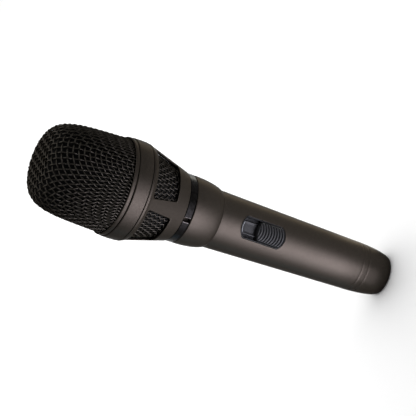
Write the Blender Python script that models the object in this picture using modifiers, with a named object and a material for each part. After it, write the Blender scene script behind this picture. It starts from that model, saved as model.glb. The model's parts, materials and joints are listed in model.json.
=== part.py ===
"""Dynamic hand microphone with a screw-on wire grille, slotted neck, slide switch and three-pole socket.

Sizes are in metres. The axis is +Z towards the head, the tail face is at height 0 under the root empty,
and the switch faces -Y.
"""
import bmesh
import bpy
from math import atan2, ceil, cos, hypot, pi, radians, sin, sqrt
from mathutils import Matrix, Vector

MM = 0.001

# Fits
CLEARANCE = 0.3 * MM
TRIM_GAP = 0.15 * MM

# Handle
GRIP_FROM_TAIL = 48.0 * MM
HANDLE_LENGTH = 99.0 * MM
HANDLE_TOP_R = 14.5 * MM
HANDLE_TAIL_R = 12.5 * MM
HANDLE_WALL = 2.3 * MM
TAIL_ROUND = 20.0 * MM
TAIL_FACE = 0.4 * MM
TAIL_POWER = 1.8
TAIL_LINE_DROPS = (2.6 * MM, 6.0 * MM)
TAIL_LINE_DEPTH = 0.15 * MM
COLLAR_LENGTH = 15.7 * MM
COLLAR_FLARE = 2.5 * MM
COLLAR_STRAIGHT = 2.7 * MM
COLLAR_POWER = 1.63
EDGE_CHAMFER = 0.4 * MM

# Accent ring
ACCENT_HEIGHT = 3.6 * MM
ACCENT_PROUD = 0.05 * MM
ACCENT_SPLIT = 2.2 * MM
ACCENT_SPLIT_AZIMUTH = radians(-111.9)

# Neck
NECK_HEIGHT = 23.1 * MM
NECK_STEP = 0.5 * MM
NECK_LIP = 0.6 * MM
NECK_WALL = 1.3 * MM
NECK_LEDGE = 1.5 * MM
NECK_STEM_LENGTH = 13.9 * MM
NECK_STEM_WALL = 2.0 * MM
NECK_FLOOR = 2.0 * MM
NECK_FLOOR_RISE = 0.6 * MM
NECK_FLOOR_HOLE_R = 9.0 * MM
NECK_WELL = 2.6 * MM
WINDOW_COUNT = 4
WINDOW_FIRST_AZIMUTH = radians(-57.9)
WINDOW_ABOVE_FOOT = 6.8 * MM
WINDOW_BELOW_TOP = 2.7 * MM
WINDOW_TOP_SPREAD = radians(76.5)
WINDOW_FOOT_SPREAD = radians(65.0)
WINDOW_CORNER_R = 1.3 * MM

# Screw joint between neck and grille
RING_R = 24.5 * MM
RING_HEIGHT = 7.1 * MM
RING_WALL = 2.3 * MM
RING_EDGE_DROP = 0.1 * MM
RING_LIP = 1.2 * MM
RING_OVER_NECK = 0.35 * MM
RING_OVER_BEAD = 0.3 * MM
THREAD_WALL = 1.8 * MM
RIM_FLANGE = 1.0 * MM
RIM_FLANGE_REACH = 1.0 * MM
BEAD_HEIGHT = 1.9 * MM
BEAD_SEAT = 0.6 * MM
BEAD_LIP = 0.55 * MM

# Grille and what lines it
GRILLE_HEIGHT = 40.1 * MM
GRILLE_TAPER = 1.5 * MM
GRILLE_POWER = 5.0
GRILLE_WALL = 1.2 * MM
WEAVE_PITCH = 4.0 * MM
WEAVE_DEPTH = 0.6 * MM
WEAVE_SLOPE = 0.9 * MM
WEAVE_AZIMUTH = radians(-65.0)
FOAM_WALL = 2.5 * MM
MESH_WALL = 1.0 * MM
LINER_WALL = 0.7 * MM

# Capsule
MOUNT_R = 13.5 * MM
MOUNT_HEIGHT = 7.7 * MM
MOUNT_FLOOR = 1.5 * MM
MOUNT_HOLE_R = 6.5 * MM
STEM_R = 10.0 * MM
CAPSULE_ROOM = 1.2 * MM
CAN_HEIGHT = 24.5 * MM
CAN_FLOOR = 2.0 * MM
CAN_WALL = 1.2 * MM
CAN_LEDGE = 1.7 * MM
CAN_MOUTH = 5.8 * MM
YOKE_BASE = 3.0 * MM
YOKE_WALL = 3.0 * MM
POLE_OVERHANG = 0.4 * MM
MAGNET_HEIGHT = 6.0 * MM
POLE_HEIGHT = 3.6 * MM
COIL_INNER_GAP = 0.5 * MM
COIL_OUTER_GAP = 0.7 * MM
COIL_WALL = 0.7 * MM
COIL_HEIGHT = 6.0 * MM
DIAPHRAGM_WALL = 0.4 * MM
DIAPHRAGM_STROKE = 0.25 * MM
DOME_RISE = 2.0 * MM
SURROUND_RISE = 0.9 * MM
PLATE_HEIGHT = 1.5 * MM
PLATE_CENTRE_HOLE_R = 3.0 * MM
PLATE_HOLE_R = 1.6 * MM
PLATE_HOLE_CIRCLE_R = 8.5 * MM
PLATE_HOLE_COUNT = 6
PLATE_FIRST_AZIMUTH = radians(7.5)

# Switch
SWITCH_TAIL_END = 63.2 * MM
SWITCH_LENGTH = 24.8 * MM
SWITCH_HALF_WIDTH = 5.65 * MM
SWITCH_END_R = 7.4 * MM
BEZEL_RIM = 0.45 * MM
RECESS_DEPTH = 2.8 * MM
RECESS_PLATE_HALF_WIDTH = 3.3 * MM
RECESS_CHANNEL_DEPTH = 0.6 * MM
BEZEL_FLOOR = 1.5 * MM
BUTTON_GAP = 0.2 * MM
BUTTON_STOP_GAP = 1.7 * MM
BUTTON_FRONT_BULGE = 1.2 * MM
BUTTON_PROUD = 0.5 * MM
BUTTON_RIBS = 9
RIB_HEIGHT = 0.35 * MM
BUTTON_TRAVEL = 7.0 * MM
ACTUATOR_WIDTH = 2.0 * MM
ACTUATOR_LENGTH = 3.0 * MM
ACTUATOR_SOCKET = 1.0 * MM
SWITCH_BODY_GAP = 0.35 * MM
SWITCH_BODY_WIDTH = 6.5 * MM
SWITCH_BODY_HEIGHT = 4.4 * MM
SWITCH_BODY_WALL = 0.9 * MM
BOARD_LENGTH = 24.0 * MM
BOARD_WIDTH = 11.0 * MM
BOARD_THICKNESS = 1.2 * MM
BOSS_R = 1.9 * MM
BOSS_FROM_BOARD_END = 2.0 * MM
SCREW_SHANK_R = 0.8 * MM
SCREW_HEAD_R = 1.5 * MM
SCREW_HEAD_HEIGHT = 0.9 * MM
SCREW_BITE = 3.0 * MM

# Socket at the tail
SOCKET_R = 9.3 * MM
SOCKET_DEPTH = 15.0 * MM
INSERT_THICKNESS = 11.0 * MM
SHOULDER_HEIGHT = 2.0 * MM
SHOULDER_STEP = 0.9 * MM
PIN_R = 1.2 * MM
PIN_CIRCLE_R = 4.04 * MM
PIN_RECESS = 2.0 * MM
PIN_TAIL = 3.5 * MM
PIN_COUNT = 3
PIN_FIRST_AZIMUTH = radians(90.0)
SET_SCREW_R = 1.2 * MM
SET_SCREW_SINK = 0.65 * MM
SET_SCREW_INTO_INSERT = 5.0 * MM

# Wires
LEAD_R = 0.5 * MM
LEAD_SPREAD = 2.5 * MM

# Roundness of turned pieces
LARGE_STEPS = 40
SMALL_STEPS = 24
PIN_STEPS = 12
ARC_STEPS = 7
GRILLE_STEPS = 10
DIAPHRAGM_STEPS = 4

# Radii of pieces that line up, worked out from the sizes above
COLLAR_R = HANDLE_TOP_R + COLLAR_FLARE
ACCENT_R = COLLAR_R + ACCENT_PROUD
NECK_FOOT_R = COLLAR_R + NECK_STEP
NECK_TOP_R = RING_R - RING_OVER_NECK
NECK_STEM_R = HANDLE_TOP_R - CLEARANCE
THREAD_R = RING_R - RING_WALL
THREAD_INNER_R = THREAD_R - THREAD_WALL
RIM_THROAT_R = THREAD_R - RIM_FLANGE_REACH
BEAD_R = RING_R - RING_OVER_BEAD
BASKET_FOOT_R = BEAD_R - BEAD_LIP - TRIM_GAP
TAIL_EDGE_R = SOCKET_R + TAIL_FACE
SHOULDER_R = SOCKET_R - SHOULDER_STEP

# Heights along the axis, worked out from the sizes above
COLLAR_TOP = HANDLE_LENGTH + COLLAR_LENGTH
ACCENT_FOOT = COLLAR_TOP + CLEARANCE
ACCENT_TOP = ACCENT_FOOT + ACCENT_HEIGHT
NECK_FOOT = ACCENT_TOP + CLEARANCE
NECK_TOP = NECK_FOOT + NECK_HEIGHT
NECK_FLOOR_TOP = NECK_FOOT + NECK_FLOOR_RISE
NECK_WELL_TOP = NECK_FLOOR_TOP + NECK_WELL
NECK_LEDGE_FOOT = NECK_TOP - NECK_LEDGE
WINDOW_HEIGHT = NECK_HEIGHT - WINDOW_ABOVE_FOOT - WINDOW_BELOW_TOP
THREAD_LENGTH = RING_HEIGHT - RING_LIP - RIM_FLANGE - CLEARANCE
THREAD_TOP = NECK_TOP + THREAD_LENGTH
RING_FOOT = NECK_TOP + CLEARANCE
RING_TOP = RING_FOOT + RING_HEIGHT
RIM_FOOT = THREAD_TOP + CLEARANCE
BEAD_FOOT = RING_TOP + CLEARANCE
BEAD_TOP = BEAD_FOOT + BEAD_HEIGHT
BASKET_FOOT = BEAD_FOOT + BEAD_SEAT + CLEARANCE
MOUNT_FOOT = NECK_FLOOR_TOP + CLEARANCE
STEM_FOOT = MOUNT_FOOT + MOUNT_FLOOR + CLEARANCE
CAN_FOOT = MOUNT_FOOT + MOUNT_HEIGHT + CLEARANCE
CAN_TOP = CAN_FOOT + CAN_HEIGHT
CAN_LEDGE_TOP = CAN_TOP - CAN_MOUTH
YOKE_FOOT = CAN_FOOT + CAN_FLOOR + CLEARANCE
MAGNET_FOOT = YOKE_FOOT + YOKE_BASE + CLEARANCE
POLE_FOOT = MAGNET_FOOT + MAGNET_HEIGHT + CLEARANCE
POLE_TOP = POLE_FOOT + POLE_HEIGHT
DIAPHRAGM_FOOT = CAN_LEDGE_TOP + DIAPHRAGM_STROKE + CLEARANCE / 2
COIL_TOP = DIAPHRAGM_FOOT - CLEARANCE
PLATE_TOP = CAN_TOP - EDGE_CHAMFER
SHOULDER_FOOT = SOCKET_DEPTH + INSERT_THICKNESS + CLEARANCE
SHOULDER_TOP = SHOULDER_FOOT + SHOULDER_HEIGHT
PIN_TOP = SOCKET_DEPTH + INSERT_THICKNESS + PIN_TAIL
SET_SCREW_LEVEL = SOCKET_DEPTH + SET_SCREW_INTO_INSERT
STEM_SOCKET_FLOOR = NECK_FOOT - NECK_STEM_LENGTH - CLEARANCE
SWITCH_HEAD_END = SWITCH_TAIL_END + SWITCH_LENGTH
SWITCH_MIDDLE = SWITCH_TAIL_END + SWITCH_LENGTH / 2


def handle_radius(height):
    """Outside of the straight taper between tail rounding and collar."""
    share = (height - TAIL_ROUND) / (HANDLE_LENGTH - TAIL_ROUND)
    return HANDLE_TAIL_R + share * (HANDLE_TOP_R - HANDLE_TAIL_R)


def tail_radius(height):
    """Outside of the tail rounding, a superellipse that ends at the tail face."""
    drop = 1 - height / TAIL_ROUND
    return TAIL_EDGE_R + (HANDLE_TAIL_R - TAIL_EDGE_R) * max(1 - drop ** TAIL_POWER, 0.0) ** (1 / TAIL_POWER)


def neck_radius(height):
    """Outside of the neck's cone."""
    share = (height - NECK_FOOT) / (NECK_HEIGHT - NECK_LIP)
    return NECK_FOOT_R + share * (NECK_TOP_R - NECK_FOOT_R)


def neck_inner_radius(height):
    """Inside of the neck's cone, below the ledge that its lining springs in under."""
    return neck_radius(height) - NECK_WALL


# Capsule, fitted to the lined neck at the foot of its housing
CAN_R = neck_inner_radius(CAN_FOOT) - 2 * CLEARANCE - MESH_WALL - LINER_WALL - CAPSULE_ROOM
CAN_MOUTH_R = CAN_R - CAN_WALL
CAN_INNER_R = CAN_MOUTH_R - CAN_LEDGE
YOKE_R = CAN_INNER_R - CLEARANCE
COIL_R = YOKE_R - YOKE_WALL - COIL_OUTER_GAP
COIL_INNER_R = COIL_R - COIL_WALL
POLE_R = COIL_INNER_R - COIL_INNER_GAP
MAGNET_R = POLE_R - POLE_OVERHANG
DIAPHRAGM_R = CAN_MOUTH_R - CLEARANCE

# Depths below the handle's axis plane for the switch, positive towards -Y
SWITCH_SURFACE = handle_radius(SWITCH_MIDDLE)
RECESS_FLOOR = SWITCH_SURFACE - RECESS_DEPTH
CHANNEL_FLOOR = RECESS_FLOOR - RECESS_CHANNEL_DEPTH
BEZEL_UNDERSIDE = CHANNEL_FLOOR - BEZEL_FLOOR
SWITCH_BODY_TOP = BEZEL_UNDERSIDE - CLEARANCE
SWITCH_BODY_UNDERSIDE = SWITCH_BODY_TOP - SWITCH_BODY_HEIGHT
BOARD_TOP = SWITCH_BODY_UNDERSIDE - CLEARANCE
BOARD_UNDERSIDE = BOARD_TOP - BOARD_THICKNESS
BUTTON_UNDERSIDE = RECESS_FLOOR + BUTTON_GAP
BUTTON_CROWN_R = SWITCH_SURFACE + BUTTON_PROUD

# Places along the switch
RECESS_INSET = TRIM_GAP + BEZEL_RIM
BUTTON_HALF_WIDTH = SWITCH_HALF_WIDTH - RECESS_INSET - BUTTON_GAP
BUTTON_TAIL_END = SWITCH_TAIL_END + RECESS_INSET + BUTTON_GAP
BUTTON_LENGTH = SWITCH_LENGTH - 2 * RECESS_INSET - BUTTON_GAP - BUTTON_TRAVEL - BUTTON_STOP_GAP
ACTUATOR_HEIGHT = BUTTON_TAIL_END + BUTTON_LENGTH / 2
SWITCH_BODY_MIDDLE = ACTUATOR_HEIGHT + BUTTON_TRAVEL / 2
BOARD_FOOT = SWITCH_MIDDLE - BOARD_LENGTH / 2
BOARD_HEAD = SWITCH_MIDDLE + BOARD_LENGTH / 2
BOSS_HEIGHTS = (BOARD_FOOT + BOSS_FROM_BOARD_END, BOARD_HEAD - BOSS_FROM_BOARD_END)
SWITCH_BODY_LENGTH = 2 * (SWITCH_BODY_MIDDLE - BOSS_HEIGHTS[0] - BOSS_R - SWITCH_BODY_GAP)


def clear_scene():
    for old in list(bpy.data.objects):
        bpy.data.objects.remove(old, do_unlink=True)


def new_collection(name):
    collection = bpy.data.collections.new(name)
    bpy.context.scene.collection.children.link(collection)
    return collection


def new_material(name, colour, roughness, metallic):
    material = bpy.data.materials.new(name)
    material.use_nodes = True
    shader = material.node_tree.nodes["Principled BSDF"]
    shader.inputs["Base Color"].default_value = (*colour, 1.0)
    shader.inputs["Roughness"].default_value = roughness
    shader.inputs["Metallic"].default_value = metallic
    return material


clear_scene()
PARTS = new_collection("dynamic_microphone")
CUTTERS = new_collection("cutters")
ROOT = bpy.data.objects.new("microphone_origin", None)
ROOT.location = (0.0, 0.0, -GRIP_FROM_TAIL)
PARTS.objects.link(ROOT)

SATIN_METAL = new_material("satin_metal", (0.16, 0.145, 0.13), 0.38, 0.9)
BLACK_WIRE = new_material("black_wire", (0.02, 0.02, 0.018), 0.45, 0.6)
GLOSS_BLACK = new_material("gloss_black", (0.008, 0.008, 0.009), 0.18, 0.0)
DARK_PLASTIC = new_material("dark_plastic", (0.045, 0.047, 0.052), 0.5, 0.0)
FOAM = new_material("foam", (0.015, 0.015, 0.015), 0.95, 0.0)
CLOTH = new_material("cloth", (0.012, 0.012, 0.012), 0.95, 0.0)
RUBBER = new_material("rubber", (0.02, 0.02, 0.02), 0.8, 0.0)
STEEL = new_material("steel", (0.5, 0.5, 0.5), 0.35, 1.0)
COPPER = new_material("copper", (0.6, 0.28, 0.14), 0.35, 1.0)
FILM = new_material("film", (0.6, 0.55, 0.4), 0.3, 0.0)
MAGNET_GREY = new_material("magnet_grey", (0.08, 0.08, 0.085), 0.5, 0.5)
BOARD_GREEN = new_material("board_green", (0.02, 0.14, 0.05), 0.5, 0.0)
SILVER = new_material("silver", (0.75, 0.74, 0.7), 0.25, 1.0)
WIRE_RED = new_material("wire_red", (0.4, 0.02, 0.02), 0.5, 0.0)
WIRE_WHITE = new_material("wire_white", (0.7, 0.7, 0.68), 0.5, 0.0)


def place(name, mesh, material, collection=PARTS):
    """Make an object of a mesh, under the root empty."""
    obj = bpy.data.objects.new(name, mesh)
    collection.objects.link(obj)
    obj.parent = ROOT
    if material:
        mesh.materials.append(material)
    else:
        obj.hide_render = True
        obj.display_type = "WIRE"
    return obj


def mesh_from(bm, name):
    bmesh.ops.recalc_face_normals(bm, faces=bm.faces)
    mesh = bpy.data.meshes.new(name)
    bm.to_mesh(mesh)
    bm.free()
    return mesh


def boolean(obj, other, operation="DIFFERENCE"):
    modifier = obj.modifiers.new(operation.lower(), "BOOLEAN")
    modifier.object = other
    modifier.operation = operation
    modifier.solver = "EXACT"
    return modifier


def turned(name, profile, material, steps=LARGE_STEPS):
    """Turn a profile of (radius, height) points about the axis.

    The points run down the outer side and up the inner side. A profile that starts on the axis stays open.
    """
    bm = bmesh.new()
    verts = [bm.verts.new((radius, 0.0, height)) for radius, height in profile]
    for first, second in zip(verts, verts[1:]):
        bm.edges.new((first, second))
    if profile[0][0] > 0.0:
        bm.edges.new((verts[-1], verts[0]))
    mesh = bpy.data.meshes.new(name)
    bm.to_mesh(mesh)
    bm.free()
    obj = place(name, mesh, material, PARTS if material else CUTTERS)
    screw = obj.modifiers.new("turn", "SCREW")
    screw.steps = steps
    screw.render_steps = steps
    screw.use_merge_vertices = True
    screw.merge_threshold = 0.00001
    screw.use_smooth_shade = True
    return obj


def tube_profile(outer, inner, foot, top):
    return [(outer, top), (outer, foot), (inner, foot), (inner, top)]


def disc_profile(radius, foot, top):
    return [(0.0, top), (radius, top), (radius, foot), (0.0, foot)]


def rounded_stretch(centre_r, reach_r, centre_z, reach_z, power, steps=ARC_STEPS):
    """Quarter of a superellipse, from its widest point to its end on the axis side."""
    points = []
    for step in range(steps + 1):
        angle = pi / 2 * step / steps
        radius = centre_r + reach_r * cos(angle) ** (2 / power) if step < steps else centre_r
        height = centre_z + reach_z * sin(angle) ** (2 / power)
        points.append((radius, height))
    return points


def inset(points, distance):
    """Move an outer profile inwards by a distance, keeping points that lie on the axis there."""
    moved = []
    last = len(points) - 1
    for index, (radius, height) in enumerate(points):
        before = points[max(index - 1, 0)]
        after = points[min(index + 1, last)]
        run_r, run_z = after[0] - before[0], after[1] - before[1]
        length = hypot(run_r, run_z)
        normal_r, normal_z = -run_z / length, run_r / length
        if radius < CLEARANCE:
            moved.append((0.0, height - distance))
        elif index == last:
            moved.append((radius - distance, height))
        else:
            moved.append((radius - distance * normal_r, height - distance * normal_z))
    return moved


def box(name, low, high, material=None):
    """Box between two corners, as a cutter when it has no material."""
    bm = bmesh.new()
    bmesh.ops.create_cube(bm, size=1.0)
    size = [b - a for a, b in zip(low, high)]
    centre = [(a + b) / 2 for a, b in zip(low, high)]
    bmesh.ops.scale(bm, vec=size, verts=bm.verts)
    bmesh.ops.translate(bm, vec=centre, verts=bm.verts)
    return place(name, mesh_from(bm, name), material, PARTS if material else CUTTERS)


def rod_cutter(name, radius, start, end, steps=PIN_STEPS):
    """Round cutter between two points."""
    start, end = Vector(start), Vector(end)
    run = end - start
    bm = bmesh.new()
    bmesh.ops.create_cone(bm, cap_ends=True, segments=steps, radius1=radius, radius2=radius, depth=run.length)
    turn = run.to_track_quat("Z", "Y").to_matrix().to_4x4()
    bmesh.ops.transform(bm, matrix=Matrix.Translation((start + end) / 2) @ turn, verts=bm.verts)
    return place(name, mesh_from(bm, name), None, CUTTERS)


def end_sag(offset, radius):
    """How far a round end falls back at a sideways offset."""
    return radius - sqrt(radius * radius - offset * offset)


def switch_outline(inset_by, steps=ARC_STEPS):
    """Switch opening seen along +Y as (x, height) points, drawn in by an inset."""
    half = SWITCH_HALF_WIDTH - inset_by
    head = SWITCH_HEAD_END - inset_by
    tail = SWITCH_TAIL_END + inset_by
    spread = [half * (2 * step / steps - 1) for step in range(steps + 1)]
    ends = [(x, tail + end_sag(x, SWITCH_END_R)) for x in spread]
    return ends + [(x, head - end_sag(x, SWITCH_END_R)) for x in reversed(spread)]


def switch_prism(name, outline, deep, shallow, material=None):
    """Flat outline carried along Y between two depths below the axis plane."""
    bm = bmesh.new()
    verts = [bm.verts.new((x, -deep, height)) for x, height in outline]
    face = bm.faces.new(verts)
    grown = bmesh.ops.extrude_face_region(bm, geom=[face])
    moved = [item for item in grown["geom"] if isinstance(item, bmesh.types.BMVert)]
    bmesh.ops.translate(bm, vec=(0.0, deep - shallow, 0.0), verts=moved)
    return place(name, mesh_from(bm, name), material, PARTS if material else CUTTERS)


def grille_outline():
    """Outside of the basket from its tip to its foot: a tapered superellipse."""
    points = []
    for radius, height in rounded_stretch(0.0, 1.0, 0.0, 1.0, GRILLE_POWER, GRILLE_STEPS):
        widest = BASKET_FOOT_R - GRILLE_TAPER * height
        points.append((radius * widest, BASKET_FOOT + GRILLE_HEIGHT * height))
    return points[::-1]


def outline_place(points, arc):
    """Point and outward direction at a length along an outline that goes on straight past its end."""
    for near, far in zip(points, points[1:]):
        run_r, run_z = far[0] - near[0], far[1] - near[1]
        run = hypot(run_r, run_z)
        if arc <= run or far == points[-1]:
            break
        arc -= run
    share = arc / run
    return (near[0] + share * run_r, near[1] + share * run_z), (-run_z / run, run_r / run)


def woven_dome(name, outline, material):
    """Solid dome with the ridges of a square wire net that is laid on its top and pressed down its side."""
    length = sum(hypot(far[0] - near[0], far[1] - near[1]) for near, far in zip(outline, outline[1:]))
    reach = length + 2 * WEAVE_PITCH
    count = ceil(reach / WEAVE_PITCH)
    bm = bmesh.new()
    bmesh.ops.create_grid(bm, x_segments=2 * count, y_segments=2 * count, size=count * WEAVE_PITCH)
    unused = [vert for vert in bm.verts if vert.co.length > reach]
    bmesh.ops.delete(bm, geom=unused, context="VERTS")
    ridges = set(bm.verts)
    bmesh.ops.inset_individual(bm, faces=bm.faces[:], thickness=WEAVE_SLOPE)
    for vert in bm.verts:
        azimuth = WEAVE_AZIMUTH + atan2(vert.co.y, vert.co.x)
        (radius, height), (out_r, out_z) = outline_place(outline, vert.co.length)
        depth = 0.0 if vert in ridges else WEAVE_DEPTH
        radius -= depth * out_r
        vert.co = (radius * cos(azimuth), radius * sin(azimuth), height - depth * out_z)
    everything = bm.verts[:] + bm.edges[:] + bm.faces[:]
    foot = (0.0, 0.0, outline[-1][1])
    bmesh.ops.bisect_plane(bm, geom=everything, plane_co=foot, plane_no=(0.0, 0.0, -1.0), clear_outer=True)
    bmesh.ops.contextual_create(bm, geom=[edge for edge in bm.edges if edge.is_boundary])
    return place(name, mesh_from(bm, name), material)


def make_grille():
    outer = grille_outline()
    inner = inset(outer, GRILLE_WALL)
    basket = woven_dome("grille_basket", outer, BLACK_WIRE)
    hollow_foot = BASKET_FOOT - CLEARANCE
    hollow = inner + [(inner[-1][0], hollow_foot), (0.0, hollow_foot)]
    boolean(basket, turned("basket_hollow_cutter", hollow, None))
    foam_outer = inset(outer, GRILLE_WALL + CLEARANCE)
    foam_inner = inset(outer, GRILLE_WALL + CLEARANCE + FOAM_WALL)
    turned("windscreen_foam", foam_outer + foam_inner[::-1], FOAM, SMALL_STEPS)


def make_rim():
    profile = [
        (BEAD_R - BEAD_LIP, BEAD_TOP),
        (BEAD_R - BEAD_LIP / 3, BEAD_TOP),
        (BEAD_R, BEAD_TOP - BEAD_LIP),
        (BEAD_R, BEAD_FOOT),
        (RIM_THROAT_R, BEAD_FOOT),
        (RIM_THROAT_R, RIM_FOOT + RIM_FLANGE),
        (THREAD_R, RIM_FOOT + RIM_FLANGE),
        (THREAD_R, RIM_FOOT),
        (THREAD_INNER_R, RIM_FOOT),
        (THREAD_INNER_R, BEAD_FOOT + BEAD_SEAT),
        (BEAD_R - BEAD_LIP, BEAD_FOOT + BEAD_SEAT),
    ]
    turned("grille_rim", profile, SATIN_METAL)


def make_coupling_ring():
    edge_r = RING_R - RING_EDGE_DROP
    lip_foot = RING_TOP - RING_LIP
    profile = [
        (edge_r - EDGE_CHAMFER, RING_TOP),
        (edge_r, RING_TOP - EDGE_CHAMFER),
        (RING_R, (RING_TOP + RING_FOOT) / 2),
        (edge_r, RING_FOOT + EDGE_CHAMFER),
        (edge_r - EDGE_CHAMFER, RING_FOOT),
        (THREAD_R + CLEARANCE, RING_FOOT),
        (THREAD_R + CLEARANCE, lip_foot),
        (RIM_THROAT_R + CLEARANCE, lip_foot),
        (RIM_THROAT_R + CLEARANCE, RING_TOP),
    ]
    turned("coupling_ring", profile, SATIN_METAL)


def window_cutter(index):
    """Wedge that narrows towards the axis and towards the neck's foot, with rounded corners."""
    near, far = NECK_STEM_R / 2, NECK_TOP_R * 2
    bm = bmesh.new()
    bmesh.ops.create_cube(bm, size=2.0)
    azimuth = WINDOW_FIRST_AZIMUTH + 2 * pi * index / WINDOW_COUNT
    for vert in bm.verts:
        spread = WINDOW_TOP_SPREAD if vert.co.z > 0 else WINDOW_FOOT_SPREAD
        height = NECK_FOOT + WINDOW_ABOVE_FOOT + (WINDOW_HEIGHT if vert.co.z > 0 else 0.0)
        reach = far if vert.co.x > 0 else near
        angle = azimuth + vert.co.y * spread / 2
        vert.co = (reach * cos(angle), reach * sin(angle), height)
    radial = [e for e in bm.edges if abs(e.verts[0].co.xy.length - e.verts[1].co.xy.length) > near]
    bmesh.ops.bevel(bm, geom=radial, offset=WINDOW_CORNER_R, segments=3, profile=0.5, affect="EDGES")
    return place(f"window_cutter_{index}", mesh_from(bm, "window_cutter"), None, CUTTERS)


def make_neck():
    stem_foot = NECK_FOOT - NECK_STEM_LENGTH
    stem_inner = NECK_STEM_R - NECK_STEM_WALL
    profile = [
        (THREAD_R, THREAD_TOP),
        (THREAD_R, NECK_TOP),
        (NECK_TOP_R - EDGE_CHAMFER / 2, NECK_TOP),
        (NECK_TOP_R, NECK_TOP - NECK_LIP),
        (NECK_FOOT_R, NECK_FOOT),
        (NECK_STEM_R, NECK_FOOT),
        (NECK_STEM_R, stem_foot),
        (stem_inner, stem_foot),
        (stem_inner, NECK_FLOOR_TOP - NECK_FLOOR),
        (NECK_FLOOR_HOLE_R, NECK_FLOOR_TOP - NECK_FLOOR),
        (NECK_FLOOR_HOLE_R, NECK_FLOOR_TOP),
        (MOUNT_R + CLEARANCE, NECK_FLOOR_TOP),
        (neck_inner_radius(NECK_WELL_TOP), NECK_WELL_TOP),
        (neck_inner_radius(NECK_LEDGE_FOOT), NECK_LEDGE_FOOT),
        (THREAD_INNER_R, NECK_LEDGE_FOOT),
        (THREAD_INNER_R, THREAD_TOP),
    ]
    neck = turned("neck", profile, SATIN_METAL)
    for index in range(WINDOW_COUNT):
        boolean(neck, window_cutter(index))


def make_neck_lining():
    foot = NECK_WELL_TOP + CLEARANCE
    top = NECK_LEDGE_FOOT - CLEARANCE
    for name, depth, wall, material in (
        ("neck_mesh", CLEARANCE, MESH_WALL, BLACK_WIRE),
        ("neck_liner", 2 * CLEARANCE + MESH_WALL, LINER_WALL, CLOTH),
    ):
        profile = [
            (neck_inner_radius(top) - depth, top),
            (neck_inner_radius(foot) - depth, foot),
            (neck_inner_radius(foot) - depth - wall, foot),
            (neck_inner_radius(top) - depth - wall, top),
        ]
        turned(name, profile, material)


def make_accent_ring():
    inner = NECK_STEM_R + CLEARANCE
    profile = [
        (ACCENT_R - EDGE_CHAMFER / 2, ACCENT_TOP),
        (ACCENT_R, ACCENT_TOP - EDGE_CHAMFER / 2),
        (ACCENT_R, ACCENT_FOOT + EDGE_CHAMFER / 2),
        (ACCENT_R - EDGE_CHAMFER / 2, ACCENT_FOOT),
        (inner, ACCENT_FOOT),
        (inner, ACCENT_TOP),
    ]
    ring = turned("accent_ring", profile, GLOSS_BLACK)
    low = (0.0, -ACCENT_SPLIT / 2, ACCENT_FOOT - CLEARANCE)
    high = (2 * ACCENT_R, ACCENT_SPLIT / 2, ACCENT_TOP + CLEARANCE)
    cutter = box("accent_split_cutter", low, high)
    cutter.rotation_euler = (0.0, 0.0, ACCENT_SPLIT_AZIMUTH)
    boolean(ring, cutter)


def handle_outline():
    """Outside of the handle from the collar's top to the edge of the tail face."""
    straight_foot = COLLAR_TOP - COLLAR_STRAIGHT
    points = [(COLLAR_R - EDGE_CHAMFER, COLLAR_TOP), (COLLAR_R, COLLAR_TOP - EDGE_CHAMFER)]
    points += rounded_stretch(
        HANDLE_TOP_R, COLLAR_R - HANDLE_TOP_R, straight_foot, HANDLE_LENGTH - straight_foot, COLLAR_POWER
    )
    tail = rounded_stretch(0.0, 1.0, TAIL_ROUND, -TAIL_ROUND, TAIL_POWER)
    heights = [(height, 0.0) for _, height in tail]
    for drop in TAIL_LINE_DROPS:
        line = TAIL_ROUND - drop
        heights += [(line + TAIL_LINE_DEPTH, 0.0), (line, TAIL_LINE_DEPTH), (line - TAIL_LINE_DEPTH, 0.0)]
    for height, depth in sorted(heights, reverse=True):
        points.append((tail_radius(height) - depth, height))
    return points


def make_handle():
    inner = [
        (SOCKET_R, 0.0),
        (SOCKET_R, SHOULDER_FOOT),
        (SHOULDER_R, SHOULDER_FOOT),
        (SHOULDER_R, SHOULDER_TOP),
        (handle_radius(SHOULDER_TOP) - HANDLE_WALL, SHOULDER_TOP),
        (HANDLE_TOP_R - HANDLE_WALL, STEM_SOCKET_FLOOR),
        (NECK_STEM_R + CLEARANCE, STEM_SOCKET_FLOOR),
        (NECK_STEM_R + CLEARANCE, COLLAR_TOP),
    ]
    handle = turned("handle", handle_outline() + inner, SATIN_METAL)
    opening = switch_prism("switch_opening_cutter", switch_outline(0.0), HANDLE_TOP_R / 2, 2 * HANDLE_TOP_R)
    boolean(handle, opening)
    hole = rod_cutter(
        "set_screw_hole_cutter",
        SET_SCREW_R + TRIM_GAP,
        (0.0, SOCKET_R / 2, SET_SCREW_LEVEL),
        (0.0, 2 * HANDLE_TOP_R, SET_SCREW_LEVEL),
    )
    boolean(handle, hole)


def make_set_screw():
    start = SOCKET_R + TRIM_GAP
    length = handle_radius(SET_SCREW_LEVEL) - SET_SCREW_SINK - start
    screw = turned("insert_screw", disc_profile(SET_SCREW_R, 0.0, length), STEEL, PIN_STEPS)
    screw.location = (0.0, start, SET_SCREW_LEVEL)
    screw.rotation_euler = (-pi / 2, 0.0, 0.0)


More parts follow.
